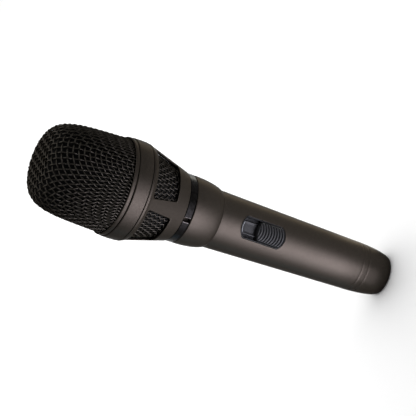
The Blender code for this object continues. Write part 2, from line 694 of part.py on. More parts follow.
def make_connector():
    insert_r = SOCKET_R - TRIM_GAP
    top = SOCKET_DEPTH + INSERT_THICKNESS
    insert = turned("connector_insert", disc_profile(insert_r, SOCKET_DEPTH, top), DARK_PLASTIC, SMALL_STEPS)
    for index in range(PIN_COUNT):
        azimuth = PIN_FIRST_AZIMUTH + 2 * pi * index / PIN_COUNT
        x, y = PIN_CIRCLE_R * cos(azimuth), PIN_CIRCLE_R * sin(azimuth)
        hole = rod_cutter(
            f"pin_hole_cutter_{index + 1}",
            PIN_R + TRIM_GAP,
            (x, y, SOCKET_DEPTH / 2),
            (x, y, top + SOCKET_DEPTH / 2),
        )
        boolean(insert, hole)
        tip = rounded_stretch(0.0, PIN_R, PIN_RECESS + PIN_R, -PIN_R, 2.0, ARC_STEPS // 2)
        profile = [(0.0, PIN_TOP), (PIN_R, PIN_TOP)] + tip
        pin = turned(f"connector_pin_{index + 1}", profile, SILVER, PIN_STEPS)
        pin.location = (x, y, 0.0)


def make_capsule():
    mount_inner = STEM_R + CLEARANCE
    mount_top = MOUNT_FOOT + MOUNT_HEIGHT
    mount = [
        (MOUNT_R, mount_top),
        (MOUNT_R, MOUNT_FOOT),
        (MOUNT_HOLE_R, MOUNT_FOOT),
        (MOUNT_HOLE_R, MOUNT_FOOT + MOUNT_FLOOR),
        (mount_inner, MOUNT_FOOT + MOUNT_FLOOR),
        (mount_inner, mount_top),
    ]
    turned("shock_mount", mount, RUBBER, SMALL_STEPS)
    can = [
        (CAN_MOUTH_R, CAN_TOP),
        (CAN_R - EDGE_CHAMFER, CAN_TOP),
        (CAN_R, CAN_TOP - EDGE_CHAMFER),
        (CAN_R, CAN_FOOT),
        (STEM_R, CAN_FOOT),
        (STEM_R, STEM_FOOT),
        (0.0, STEM_FOOT),
        (0.0, CAN_FOOT + CAN_FLOOR),
        (CAN_INNER_R, CAN_FOOT + CAN_FLOOR),
        (CAN_INNER_R, CAN_LEDGE_TOP),
        (CAN_MOUTH_R, CAN_LEDGE_TOP),
    ]
    axis_point = next(index for index, point in enumerate(can) if point[0] == 0.0)
    turned("capsule_housing", can[axis_point + 1:] + can[:axis_point + 1], STEEL, SMALL_STEPS)
    yoke = [
        (0.0, YOKE_FOOT + YOKE_BASE),
        (YOKE_R - YOKE_WALL, YOKE_FOOT + YOKE_BASE),
        (YOKE_R - YOKE_WALL, POLE_TOP),
        (YOKE_R, POLE_TOP),
        (YOKE_R, YOKE_FOOT),
        (0.0, YOKE_FOOT),
    ]
    turned("yoke", yoke, STEEL, SMALL_STEPS)
    magnet_top = MAGNET_FOOT + MAGNET_HEIGHT
    turned("magnet", disc_profile(MAGNET_R, MAGNET_FOOT, magnet_top), MAGNET_GREY, SMALL_STEPS)
    turned("pole_plate", disc_profile(POLE_R, POLE_FOOT, POLE_TOP), STEEL, SMALL_STEPS)
    coil = tube_profile(COIL_R, COIL_INNER_R, COIL_TOP - COIL_HEIGHT, COIL_TOP)
    turned("voice_coil", coil, COPPER, SMALL_STEPS)


def diaphragm_line(lift):
    """Dome and rolled surround from the axis to the clamped edge, raised by a lift."""
    points = []
    for step in range(DIAPHRAGM_STEPS):
        share = step / DIAPHRAGM_STEPS
        points.append((COIL_R * share, DIAPHRAGM_FOOT + lift + DOME_RISE * (1 - share * share)))
    for step in range(DIAPHRAGM_STEPS + 1):
        share = step / DIAPHRAGM_STEPS
        radius = COIL_R + share * (DIAPHRAGM_R - COIL_R)
        points.append((radius, DIAPHRAGM_FOOT + lift + SURROUND_RISE * sin(pi * share)))
    return points


def make_diaphragm():
    top = diaphragm_line(DIAPHRAGM_WALL)
    turned("diaphragm", top + diaphragm_line(0.0)[::-1], FILM, SMALL_STEPS)


def make_front_plate():
    radius = CAN_MOUTH_R - CLEARANCE
    foot = PLATE_TOP - PLATE_HEIGHT
    profile = tube_profile(radius, PLATE_CENTRE_HOLE_R, foot, PLATE_TOP)
    plate = turned("capsule_front_plate", profile, MAGNET_GREY, SMALL_STEPS)
    for index in range(PLATE_HOLE_COUNT):
        azimuth = PLATE_FIRST_AZIMUTH + 2 * pi * index / PLATE_HOLE_COUNT
        x, y = PLATE_HOLE_CIRCLE_R * cos(azimuth), PLATE_HOLE_CIRCLE_R * sin(azimuth)
        hole = rod_cutter(
            f"plate_hole_cutter_{index}",
            PLATE_HOLE_R,
            (x, y, foot - PLATE_HEIGHT),
            (x, y, PLATE_TOP + PLATE_HEIGHT),
        )
        boolean(plate, hole)


def make_bezel():
    outline = switch_outline(TRIM_GAP)
    bezel = switch_prism("switch_bezel", outline, BEZEL_UNDERSIDE, 2 * HANDLE_TOP_R, DARK_PLASTIC)
    for index, height in enumerate(BOSS_HEIGHTS):
        overlap = BEZEL_UNDERSIDE + BEZEL_FLOOR / 2
        boss_foot = (0.0, -(BOARD_TOP + CLEARANCE), height)
        boss = rod_cutter(f"bezel_boss_{index}", BOSS_R, boss_foot, (0.0, -overlap, height))
        boolean(bezel, boss, "UNION")
    low, high = SWITCH_TAIL_END - CLEARANCE, SWITCH_HEAD_END + CLEARANCE
    skin = [(0.0, high), (handle_radius(high), high), (handle_radius(low), low), (0.0, low)]
    boolean(bezel, turned("bezel_skin", skin, None), "INTERSECT")
    plate = switch_outline(RECESS_INSET)
    recess = switch_prism("recess_cutter", plate, RECESS_FLOOR, 2 * HANDLE_TOP_R)
    boolean(bezel, recess)
    recess_half = SWITCH_HALF_WIDTH - RECESS_INSET
    sag = end_sag(recess_half, SWITCH_END_R)
    for side in (-1, 1):
        edges = sorted((side * RECESS_PLATE_HALF_WIDTH, side * recess_half))
        low = (edges[0], -SWITCH_SURFACE, SWITCH_TAIL_END + RECESS_INSET + sag)
        high = (edges[1], -CHANNEL_FLOOR, SWITCH_HEAD_END - RECESS_INSET - sag)
        boolean(bezel, box(f"recess_channel_cutter_{side + 1}", low, high))
    slot_half = ACTUATOR_WIDTH / 2 + CLEARANCE
    reach = ACTUATOR_LENGTH / 2 + CLEARANCE
    low = (-slot_half, -SWITCH_SURFACE, ACTUATOR_HEIGHT - reach)
    high = (slot_half, -SWITCH_BODY_UNDERSIDE, ACTUATOR_HEIGHT + BUTTON_TRAVEL + reach)
    boolean(bezel, box("actuator_slot_cutter", low, high))
    for index, height in enumerate(BOSS_HEIGHTS):
        hole_top = (0.0, -(BOARD_TOP + SCREW_BITE + CLEARANCE), height)
        hole = rod_cutter(f"boss_hole_cutter_{index}", SCREW_SHANK_R + TRIM_GAP, (0.0, 0.0, height), hole_top)
        boolean(bezel, hole)


def button_point(across, along):
    """Point of the ribbed button top, across from -1 to 1 and along from 0 at the tail to 1 at the front."""
    x = across * BUTTON_HALF_WIDTH
    tail = BUTTON_TAIL_END + end_sag(x, SWITCH_END_R)
    front = BUTTON_TAIL_END + BUTTON_LENGTH - BUTTON_FRONT_BULGE * across * across
    rib = RIB_HEIGHT * (1 - cos(2 * pi * BUTTON_RIBS * along)) / 2
    depth = sqrt(BUTTON_CROWN_R ** 2 - x * x) - RIB_HEIGHT + rib
    return (x, -depth, tail + along * (front - tail))


def make_button():
    columns, rows = 8, BUTTON_RIBS * 4
    bm = bmesh.new()
    bmesh.ops.create_grid(bm, x_segments=columns, y_segments=rows, size=1.0)
    for vert in bm.verts:
        vert.co = button_point(vert.co.x, (vert.co.y + 1) / 2)
    grown = bmesh.ops.extrude_face_region(bm, geom=bm.faces[:])
    for item in grown["geom"]:
        if isinstance(item, bmesh.types.BMVert):
            item.co.y = -BUTTON_UNDERSIDE
    button = place("switch_button", mesh_from(bm, "switch_button"), DARK_PLASTIC)
    half, reach = ACTUATOR_WIDTH / 2 + TRIM_GAP, ACTUATOR_LENGTH / 2 + TRIM_GAP
    low = (-half, -(BUTTON_UNDERSIDE + ACTUATOR_SOCKET), ACTUATOR_HEIGHT - reach)
    high = (half, 0.0, ACTUATOR_HEIGHT + reach)
    boolean(button, box("actuator_socket_cutter", low, high))


def make_switch():
    half, reach = ACTUATOR_WIDTH / 2, ACTUATOR_LENGTH / 2
    stem_top = BUTTON_UNDERSIDE + ACTUATOR_SOCKET - TRIM_GAP
    stem_foot = SWITCH_BODY_UNDERSIDE + SWITCH_BODY_WALL + CLEARANCE
    box(
        "switch_actuator",
        (-half, -stem_top, ACTUATOR_HEIGHT - reach),
        (half, -stem_foot, ACTUATOR_HEIGHT + reach),
        DARK_PLASTIC,
    )
    body = box(
        "switch_body",
        (-SWITCH_BODY_WIDTH / 2, -SWITCH_BODY_TOP, SWITCH_BODY_MIDDLE - SWITCH_BODY_LENGTH / 2),
        (SWITCH_BODY_WIDTH / 2, -SWITCH_BODY_UNDERSIDE, SWITCH_BODY_MIDDLE + SWITCH_BODY_LENGTH / 2),
        STEEL,
    )
    slot = box(
        "switch_slot_cutter",
        (-half - CLEARANCE, -SWITCH_SURFACE, ACTUATOR_HEIGHT - reach - CLEARANCE),
        (
            half + CLEARANCE,
            -(SWITCH_BODY_UNDERSIDE + SWITCH_BODY_WALL),
            ACTUATOR_HEIGHT + BUTTON_TRAVEL + reach + CLEARANCE,
        ),
    )
    boolean(body, slot)


def make_board():
    board = box(
        "switch_board",
        (-BOARD_WIDTH / 2, -BOARD_TOP, BOARD_FOOT),
        (BOARD_WIDTH / 2, -BOARD_UNDERSIDE, BOARD_HEAD),
        BOARD_GREEN,
    )
    head_foot = BOARD_UNDERSIDE - CLEARANCE
    for name, height in zip(("board_screw_lower", "board_screw_upper"), BOSS_HEIGHTS):
        hole = rod_cutter(
            f"{name}_hole_cutter",
            SCREW_SHANK_R + TRIM_GAP,
            (0.0, 0.0, height),
            (0.0, -SWITCH_SURFACE, height),
        )
        boolean(board, hole)
        shank = BOARD_THICKNESS + CLEARANCE + SCREW_BITE
        profile = [
            (0.0, shank),
            (SCREW_SHANK_R, shank),
            (SCREW_SHANK_R, 0.0),
            (SCREW_HEAD_R, 0.0),
            (SCREW_HEAD_R, -SCREW_HEAD_HEIGHT),
            (0.0, -SCREW_HEAD_HEIGHT),
        ]
        screw = turned(name, profile, STEEL, PIN_STEPS)
        screw.location = (0.0, -head_foot, height)
        screw.rotation_euler = (pi / 2, 0.0, 0.0)


def lead(name, points, material):
    """Insulated wire along a smooth route."""
    data = bpy.data.curves.new(name, "CURVE")
    data.dimensions = "3D"
    spline = data.splines.new("POLY")
    spline.points.add(len(points) - 1)
    for point, position in zip(spline.points, points):
        point.co = (*position, 1.0)
    data.bevel_depth = LEAD_R
    data.bevel_resolution = 1
    data.use_fill_caps = True
    data.materials.append(material)
    obj = bpy.data.objects.new(name, data)
    PARTS.objects.link(obj)
    obj.parent = ROOT


def smooth_route(start, end, steps=ARC_STEPS):
    """Points that leave and arrive along the axis and cross over evenly between."""
    start, end = Vector(start), Vector(end)
    points = []
    for step in range(steps + 1):
        share = step / steps
        ease = share * share * (3 - 2 * share)
        points.append((
            start.x + ease * (end.x - start.x),
            start.y + ease * (end.y - start.y),
            start.z + share * (end.z - start.z),
        ))
    return points


def make_leads():
    board_y = -(BOARD_UNDERSIDE - CLEARANCE - LEAD_R)
    overlap = BOARD_LENGTH / 12
    for side, letter, material in ((-1, "a", WIRE_RED), (1, "b", WIRE_WHITE)):
        x = side * LEAD_SPREAD
        capsule_end = (x, 0.0, STEM_FOOT - CLEARANCE)
        board_end = (x, board_y, BOARD_HEAD - overlap)
        lead(f"lead_capsule_{letter}", smooth_route(capsule_end, board_end), material)
        azimuth = PIN_FIRST_AZIMUTH + 2 * pi * (1 if side < 0 else 2) / PIN_COUNT
        pin_end = (PIN_CIRCLE_R * cos(azimuth), PIN_CIRCLE_R * sin(azimuth), PIN_TOP + CLEARANCE)
        lead(f"lead_plug_{letter}", smooth_route((x, board_y, BOARD_FOOT + overlap), pin_end), material)


make_grille()
make_rim()
make_coupling_ring()
make_neck()
make_neck_lining()
make_accent_ring()
make_handle()
make_set_screw()
make_connector()
make_capsule()
make_diaphragm()
make_front_plate()
make_bezel()
make_button()
make_switch()
make_board()
make_leads()
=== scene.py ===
"""Looks of a handheld dynamic microphone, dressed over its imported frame.

Shapes and places are in millimetres, lamps' sizes and depths of relief in metres. Heights run along the axis
from the tail face, and azimuths turn about the axis from +X. The thumb switch faces -Y.
"""
import json
from bisect import bisect_left
from functools import partial
from math import atan2, copysign, cos, hypot, pi, radians, sin, sqrt, tan

import bmesh
import bpy
from mathutils import Matrix, Vector


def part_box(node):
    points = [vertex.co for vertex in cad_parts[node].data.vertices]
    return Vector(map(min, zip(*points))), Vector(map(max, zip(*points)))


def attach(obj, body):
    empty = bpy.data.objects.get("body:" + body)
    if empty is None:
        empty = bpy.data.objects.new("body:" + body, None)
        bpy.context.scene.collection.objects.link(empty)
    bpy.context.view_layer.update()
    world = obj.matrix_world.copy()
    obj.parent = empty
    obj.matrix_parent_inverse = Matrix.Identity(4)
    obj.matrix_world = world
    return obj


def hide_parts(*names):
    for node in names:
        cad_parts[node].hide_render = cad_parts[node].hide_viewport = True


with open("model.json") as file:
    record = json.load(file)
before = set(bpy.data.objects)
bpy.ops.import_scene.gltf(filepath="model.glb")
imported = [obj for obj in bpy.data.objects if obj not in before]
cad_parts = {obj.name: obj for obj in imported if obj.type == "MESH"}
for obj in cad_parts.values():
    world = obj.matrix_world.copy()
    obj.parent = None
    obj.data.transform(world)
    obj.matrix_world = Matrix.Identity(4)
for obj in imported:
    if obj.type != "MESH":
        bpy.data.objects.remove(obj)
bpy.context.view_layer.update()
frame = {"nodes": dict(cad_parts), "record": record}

MM = 0.001
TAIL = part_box("handle")[0][2]


def span(node):
    """Foot and top above the tail face, and outer radius, of a turned CAD node in millimetres."""
    low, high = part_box(node)
    return (low[2] - TAIL) / MM, (high[2] - TAIL) / MM, high[0] / MM


# Places and radii taken from the frame
_, COLLAR_TOP, COLLAR_R = span("handle")
ACCENT_FOOT, ACCENT_TOP, ACCENT_R = span("accent_ring")
STEM_FOOT, THREAD_TOP, NECK_TOP_R = span("neck")
RING_FOOT, RING_TOP, RING_R = span("coupling_ring")
RIM_FOOT, BEAD_TOP, BEAD_R = span("grille_rim")
BASKET_FOOT, BASKET_TOP, BASKET_R = span("grille_basket")
MESH_FOOT, MESH_TOP, MESH_TOP_R = span("neck_mesh")
LINER_FOOT, LINER_TOP, LINER_TOP_R = span("neck_liner")
FOAM_FOOT, _, FOAM_R = span("windscreen_foam")

# Handle
HANDLE_LENGTH = 99.0
HANDLE_TOP_R = 14.5
HANDLE_TAIL_R = 12.5
HANDLE_WALL = 2.3
TAIL_ROUND = 20.0
TAIL_EDGE_R = 9.7
TAIL_POWER = 1.8
TAIL_LINES = (17.4, 14.0)
TAIL_LINE_HALF = 0.17
TAIL_LINE_DEPTH = 0.09
COLLAR_STRAIGHT = 2.7
COLLAR_POWER = 1.63
COLLAR_EDGE_R = 0.4
SOCKET_R = 9.3
SHOULDER_R = 8.4
SHOULDER_FOOT = 26.3
SHOULDER_TOP = 28.3
STEM_SOCKET_R = 14.5
STEM_SOCKET_FLOOR = 104.7
SET_SCREW_HEIGHT = 20.0
SET_SCREW_HOLE_R = 1.35
SET_SCREW_EDGE_R = 0.15

# Neck
NECK_FOOT = 118.9
NECK_FOOT_R = 17.5
NECK_TOP = 142.0
NECK_LIP = 0.6
NECK_BAND = 1.1
NECK_TOP_EDGE_R = 0.2
NECK_BAND_EDGE_R = 0.5
NECK_FOOT_EDGE_R = 0.3
NECK_STEM_R = 14.2
NECK_STEM_INNER_R = 12.2
NECK_FLOOR_FOOT = 117.5
NECK_FLOOR_TOP = 119.5
NECK_FLOOR_HOLE_R = 9.0
NECK_WELL_R = 13.8
NECK_WELL_TOP = 122.1
NECK_WALL = 1.3
NECK_LEDGE_FOOT = 140.5
THREAD_R = 22.2
THREAD_INNER_R = 20.4
WINDOW_COUNT = 4
WINDOW_AZIMUTH = radians(-57.9)
WINDOW_FOOT = 125.7
WINDOW_TOP = 139.3
WINDOW_TOP_SPREAD = radians(76.5)
WINDOW_FOOT_SPREAD = radians(65.0)
WINDOW_CORNER_R = 1.3
WINDOW_EDGE_R = 0.3

# Rings
RING_EDGE_DROP = 0.1
RING_TOP_EDGE_R = 0.45
RING_CROWN_R = 20.0
RING_FOOT_EDGE_R = 0.3
RING_FOOT_STEP = 0.1
RING_THREAD_R = 22.5
RING_LIP_FOOT = 148.2
RING_LIP_R = 21.5
RIM_THROAT_R = 21.2
RIM_FLANGE_TOP = 147.9
BEAD_FOOT = 149.7
BEAD_SEAT_TOP = 150.3
BEAD_LIP = 0.55
BEAD_LIP_EDGE_R = 0.12
BEAD_TOP_EDGE_R = 0.42
BEAD_FOOT_EDGE_R = 0.3
ACCENT_INNER_R = 14.5
ACCENT_SPLIT = 2.2
ACCENT_SPLIT_AZIMUTH = radians(-111.9)
ACCENT_EDGE_R = 0.3
ACCENT_END_ROUND = 0.25

# Grille and its weave
GRILLE_POWER = 5.0
GRILLE_TAPER = 1.5
GRILLE_WIRE = 0.68
GRILLE_PITCH = 2.65
GRILLE_SEAT = 150.65
GRILLE_AZIMUTH = radians(-65.0)
SIDE_STRANDS_PER_MM = 0.18
SHOULDER_ARC = 21.0
SHOULDER_EASE = 4.0
DOME_ARC = 12.0
SIDE_ARC = 28.0
DOME_RATES = (pi / sqrt(8.0), pi / 4)
SIDE_RATES = (0.91, 1.05)
NECK_WIRE = 0.5
NECK_PITCH = 2.2
NECK_WIRE_START = 0.01
FOAM_WALL = 2.5
FOAM_SWELL = 0.004
FOAM_LOBES = 9
FOAM_WAVES_PER_MM = 0.9

# Switch
SWITCH_FOOT = 63.2
SWITCH_LENGTH = 24.8
SWITCH_HALF_WIDTH = 5.65
SWITCH_END_R = 7.4
SWITCH_MIDDLE = SWITCH_FOOT + SWITCH_LENGTH / 2
SWITCH_EDGE_R = 0.2
TRIM_GAP = 0.15
BEZEL_RIM = 0.45
BEZEL_EDGE = 0.08
BEZEL_WALL_RUN = 0.12
BEZEL_SINK = 0.05
BEZEL_FLOOR = 1.5
RECESS_DEPTH = 2.8
PLATE_HALF_WIDTH = 3.3
CHANNEL_DEPTH = 0.6
CHANNEL_LINES = (3.85, 4.4)
CHANNEL_LINE_HALF = 0.12
CHANNEL_LINE_HEIGHT = 0.35
PANEL_HALF_WIDTH = 2.5
PANEL_BARS = ((0.7, 1.25), (1.75, 2.3))
PANEL_DEPTH = 0.35
STEP_RUN = 0.1
BUTTON_HALF_WIDTH = 4.85
BUTTON_FOOT = 64.0
BUTTON_LENGTH = 14.7
BUTTON_FRONT_BULGE = 1.2
BUTTON_UNDERSIDE = 11.3
BUTTON_PROUD = 0.5
RIB_PITCH = 1.5
RIB_HEIGHT = 0.75
RIB_POWER = 0.5
# Share of a rib's swell below which a button face takes the darker plastic, a painted shade in the grooves.
PAINTED_SHADE_SHARE = 0.5
BUTTON_EDGE = 0.45

# Fineness of the meshes
FINE_STEPS = 192
WINDOW_STEPS = 288
ARC_STEPS = 4
CURVE_STEPS = 26
GRILLE_STEPS = 400
WIRE_SIDES = 7
TRACE_STEP = 0.55
SWITCH_MARGIN = 0.9
SWITCH_ROW = 0.6
SWITCH_HALF_COLUMNS = 14
SCREW_MARGIN = 1.8
SCREW_ROW = 0.45
SCREW_HALF_COLUMNS = 4
GRIP_ROW = 4.0
UPPER_ROW = 2.0
WINDOW_MARGIN = 0.7
WINDOW_ROW = 0.5
WINDOW_HALF_COLUMNS = 32
LINER_STEPS = 96
LINER_ROWS = 8
FOAM_STEPS = 120
FOAM_ROWS = 60
PANEL_COLUMNS = (0.8, 1.7)
TRAY_ROWS = (4.0, 7.0)
BUTTON_COLUMNS = 30
BUTTON_ROWS = 120


# Small geometry helpers

def superellipse(share, power):
    """How far a superellipse still reaches out at a share of its height."""
    return max(1.0 - min(share, 1.0) ** power, 0.0) ** (1 / power)


def blend(share, start, end):
    return start + (end - start) * share


def smooth_share(value, low, high):
    share = min(max((value - low) / (high - low), 0.0), 1.0)
    return share * share * (3 - 2 * share)


def rounded(points, steps=ARC_STEPS):
    """Open outline of (a, b, radius) points, with each inner corner rounded to its radius."""
    outline = [tuple(points[0][:2])]
    for before, corner, after in zip(points, points[1:], points[2:]):
        place = Vector(corner[:2])
        radius = corner[2] if len(corner) > 2 else 0.0
        if radius == 0.0:
            outline.append(tuple(place))
            continue
        back = (Vector(before[:2]) - place).normalized()
        forth = (Vector(after[:2]) - place).normalized()
        half = back.angle(forth) / 2
        centre = place + (back + forth).normalized() * radius / sin(half)
        start = place + back * radius / tan(half) - centre
        end = place + forth * radius / tan(half) - centre
        for step in range(steps + 1):
            spoke = start.lerp(end, step / steps).normalized() * radius
            outline.append(tuple(centre + spoke))
    outline.append(tuple(points[-1][:2]))
    return outline


def edge_round(radius, steps=ARC_STEPS):
    """Offsets and depths of the steps that round an outer edge, from the outside in."""
    turns = [pi / 2 * step / steps for step in range(steps + 1)]
    return [(radius * (1 - sin(turn)), radius * (1 - cos(turn))) for turn in turns]


def hole_loops(loop, edge_r, inside):
    """Loops of a hole, from its rounded outer edge to the inside of the wall."""
    return [loop(*edge) for edge in edge_round(edge_r)] + [loop(0.0, 0.0, inside)]


def turned(profile, steps=FINE_STEPS, start=0.0, skip=()):
    """Vertices and faces of a closed profile of (radius, height) points turned about the axis."""
    count = len(profile)
    angles = [start + 2 * pi * step / steps for step in range(steps)]
    verts = [(r * cos(angle), r * sin(angle), h) for angle in angles for r, h in profile]
    faces = []
    for step in range(steps):
        here, there = step * count, (step + 1) % steps * count
        for row in range(count):
            after = (row + 1) % count
            if (step, row) not in skip:
                faces.append((here + row, here + after, there + after, there + row))
    return verts, faces


def square_edge(columns, rows):
    """Places (column, row) round a rectangle of grid points, once about."""
    right, top = columns - 1, rows - 1
    foot = [(column, 0) for column in range(right)]
    rise = [(right, row) for row in range(top)]
    head = [(column, top) for column in range(right, 0, -1)]
    fall = [(0, row) for row in range(top, 0, -1)]
    return foot + rise + head + fall


def rows_between(profile, rows, foot, top):
    """Rows of a profile whose heights lie between two heights, ordered from the foot up."""
    chosen = [row for row in rows if foot <= profile[row][1] <= top]
    return sorted(chosen, key=lambda row: profile[row][1])


def pierced(profile, outer_count, steps, start, holes):
    """Turn a closed profile about the axis and leave holes through its wall.

    The first outer_count points of the profile are its outside. A hole is its azimuth, half its width in
    columns, the heights of its rows, and the functions that draw its loops from the outside in, each from a
    point of the unit square's edge.
    """
    count = len(profile)
    margin = 0.01
    openings, skip = [], set()
    for azimuth, half, zone, loops in holes:
        foot, top = zone[0], zone[-1]
        middle = round((azimuth - start) / (2 * pi) * steps)
        columns = [(middle + offset) % steps for offset in range(-half, half + 1)]
        outside = rows_between(profile, range(outer_count), foot - margin, top + margin)
        inside = rows_between(profile, range(outer_count, count), foot - margin, top + margin)
        for rows in (outside, inside):
            skip |= {(column, min(pair)) for column in columns[:-1] for pair in zip(rows, rows[1:])}
        openings.append((columns, outside, inside, (foot + top) / 2, (top - foot) / 2, loops))
    verts, faces = turned(profile, steps, start, skip)
    for columns, outside, inside, middle, half, loops in openings:
        edge = square_edge(len(columns), len(outside))
        rings = [[columns[column] * count + outside[row] for column, row in edge]]
        for loop in loops:
            ring = []
            for column, row in edge:
                across = 2 * column / (len(columns) - 1) - 1
                along = (profile[outside[row]][1] - middle) / half
                ring.append(len(verts))
                verts.append(loop(across, along))
            rings.append(ring)
        rings.append([columns[column] * count + inside[row] for column, row in edge])
        faces += sleeve(rings)
    return verts, faces


def strip(near, far):
    """Faces between two closed loops of the same length."""
    count = len(near)
    return [(near[k], near[(k + 1) % count], far[(k + 1) % count], far[k]) for k in range(count)]


def sleeve(loops):
    """Faces along a row of closed loops, open at both ends."""
    return [face for near, far in zip(loops, loops[1:]) for face in strip(near, far)]


def capped(loops):
    """Faces along a row of closed loops, closed at both ends."""
    return sleeve(loops) + [tuple(loops[0]), tuple(reversed(loops[-1]))]


def block(verts, width, underside):
    """Faces of a grid of points, with walls down to a flat underside whose points are added."""
    rows = len(verts) // width
    faces = []
    for row in range(rows - 1):
        for low in range(row * width, (row + 1) * width - 1):
            faces.append((low, low + 1, low + width + 1, low + width))
    edge = [column + row * width for column, row in square_edge(width, rows)]
    foot = [len(verts) + index for index in range(len(edge))]
    verts += [(verts[index][0], -underside, verts[index][2]) for index in edge]
    return faces + strip(edge, foot) + [tuple(foot)]


def tube(path, radius, sides=WIRE_SIDES):
    """Vertices and faces of a round wire along a path of (point, outward normal) pairs."""
    verts = []
    last = len(path) - 1
    for index, (point, normal) in enumerate(path):
        run = path[min(index + 1, last)][0] - path[max(index - 1, 0)][0]
        side = run.cross(normal).normalized()
        out = side.cross(run).normalized()
        for turn in range(sides):
            angle = 2 * pi * turn / sides
            verts.append(tuple(point + radius * (cos(angle) * out + sin(angle) * side)))
    return verts, capped([list(range(index * sides, (index + 1) * sides)) for index in range(last + 1)])


def joined(parts):
    """Several lists of vertices and faces as one."""
    verts, faces = [], []
    for part_verts, part_faces in parts:
        shift = len(verts)
        verts += part_verts
        faces += [tuple(index + shift for index in face) for face in part_faces]
    return verts, faces


def placed(name, data):
    """New object in the scene."""
    obj = bpy.data.objects.new(name, data)
    bpy.context.scene.collection.objects.link(obj)
    return obj


def piece(name, shape, body, slot, node, material=None):
    """Smooth object that rides on a body and stands for a CAD node, in its slot's finish or another."""
    verts, faces = shape
    mesh = bpy.data.meshes.new(name)
    mesh.from_pydata([(x * MM, y * MM, TAIL + h * MM) for x, y, h in verts], [], faces)
    bm = bmesh.new()
    bm.from_mesh(mesh)
    bmesh.ops.recalc_face_normals(bm, faces=bm.faces)
    for face in bm.faces:
        face.smooth = True
    bm.to_mesh(mesh)
    bm.free()
    mesh.materials.append(material or FINISHES[slot])
    obj = placed(name, mesh)
    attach(obj, body)
    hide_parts(node)
    return obj


def crisp(obj):
    """Let large faces keep their own direction beside rounded edges."""
    modifier = obj.modifiers.new("crisp_edges", "WEIGHTED_NORMAL")
    modifier.keep_sharp = True


# Materials

GRAIN_COLOUR_SPAN = (0.35, 0.65)
GRAIN_VALUE_SPAN = (0.3, 0.7)
PLASTIC_GRAIN = 4200.0
MOULDED = {"relief": 0.2, "depth": 0.03 * MM, "detail": 3.0}


def set_inputs(node, values):
    for name, value in values.items():
        node.inputs[name].default_value = value


def shader_material(name, metallic=0.0, specular=0.5, edge=1.0):
    """Material and its shader. Edge is the tint of a metal at grazing angles."""
    material = bpy.data.materials.new(name)
    material.use_nodes = True
    shader = material.node_tree.nodes["Principled BSDF"]
    tint = (edge, edge, edge, 1.0)
    set_inputs(shader, {"Metallic": metallic, "Specular IOR Level": specular, "Specular Tint": tint})
    return material, shader


def noise_node(tree, scale, detail, stretch):
    """Noise of a scale per metre in the object's own space, stretched along its axes."""
    place = tree.nodes.new("ShaderNodeTexCoord")
    mapping = tree.nodes.new("ShaderNodeMapping")
    set_inputs(mapping, {"Scale": stretch})
    noise = tree.nodes.new("ShaderNodeTexNoise")
    set_inputs(noise, {"Scale": scale, "Detail": detail})
    tree.links.new(place.outputs["Object"], mapping.inputs["Vector"])
    tree.links.new(mapping.outputs["Vector"], noise.inputs["Vector"])
    return noise.outputs["Fac"]


def colour_ramp(tree, value, low, high, dark, light):
    """Colour between dark and light as a value goes from low to high."""
    colours = tree.nodes.new("ShaderNodeValToRGB")
    for element, place, colour in zip(colours.color_ramp.elements, (low, high), (dark, light)):
        element.position = place
        element.color = (*colour, 1.0)
    tree.links.new(value, colours.inputs["Fac"])
    return colours.outputs["Color"]


def value_range(tree, value, low, high):
    """Number between low and high for a noise value."""
    mapped = tree.nodes.new("ShaderNodeMapRange")
    first, last = GRAIN_VALUE_SPAN
    set_inputs(mapped, {"From Min": first, "From Max": last, "To Min": low, "To Max": high})
    tree.links.new(value, mapped.inputs["Value"])
    return mapped.outputs["Result"]


def bump(tree, value, shader, strength, distance):
    """Relief of a depth in metres that follows a value."""
    relief = tree.nodes.new("ShaderNodeBump")
    set_inputs(relief, {"Strength": strength, "Distance": distance})
    tree.links.new(value, relief.inputs["Height"])
    tree.links.new(relief.outputs["Normal"], shader.inputs["Normal"])


def grained(
    name, dark, light, scale, roughness, metallic=0.0, specular=0.5, relief=0.0, depth=0.05 * MM, detail=2.0,
    stretch=(1.0, 1.0, 1.0), edge=1.0,
):
    """Material whose colour, roughness and relief follow one noise of a scale per metre."""
    material, shader = shader_material(name, metallic, specular, edge)
    tree = material.node_tree
    grain = noise_node(tree, scale, detail, stretch)
    tree.links.new(colour_ramp(tree, grain, *GRAIN_COLOUR_SPAN, dark, light), shader.inputs["Base Color"])
    tree.links.new(value_range(tree, grain, *roughness), shader.inputs["Roughness"])
    if relief:
        bump(tree, grain, shader, relief, depth)
    return material


def woven(name, dark, light, threads, roughness):
    """Cloth of threads crossing along the axis and about it."""
    material, shader = shader_material(name, specular=0.2)
    tree = material.node_tree
    place = tree.nodes.new("ShaderNodeTexCoord")
    waves = []
    for direction in ("DIAGONAL", "Z"):
        wave = tree.nodes.new("ShaderNodeTexWave")
        wave.bands_direction = direction
        set_inputs(wave, {"Scale": threads, "Distortion": 0.4})
        tree.links.new(place.outputs["Object"], wave.inputs["Vector"])
        waves.append(wave.outputs["Fac"])
    crossing = tree.nodes.new("ShaderNodeMath")
    crossing.operation = "MULTIPLY"
    tree.links.new(waves[0], crossing.inputs[0])
    tree.links.new(waves[1], crossing.inputs[1])
    crossed = crossing.outputs["Value"]
    tree.links.new(colour_ramp(tree, crossed, 0.0, 1.0, dark, light), shader.inputs["Base Color"])
    tree.links.new(value_range(tree, crossed, *roughness), shader.inputs["Roughness"])
    bump(tree, crossed, shader, strength=0.5, distance=0.1 * MM)
    return material


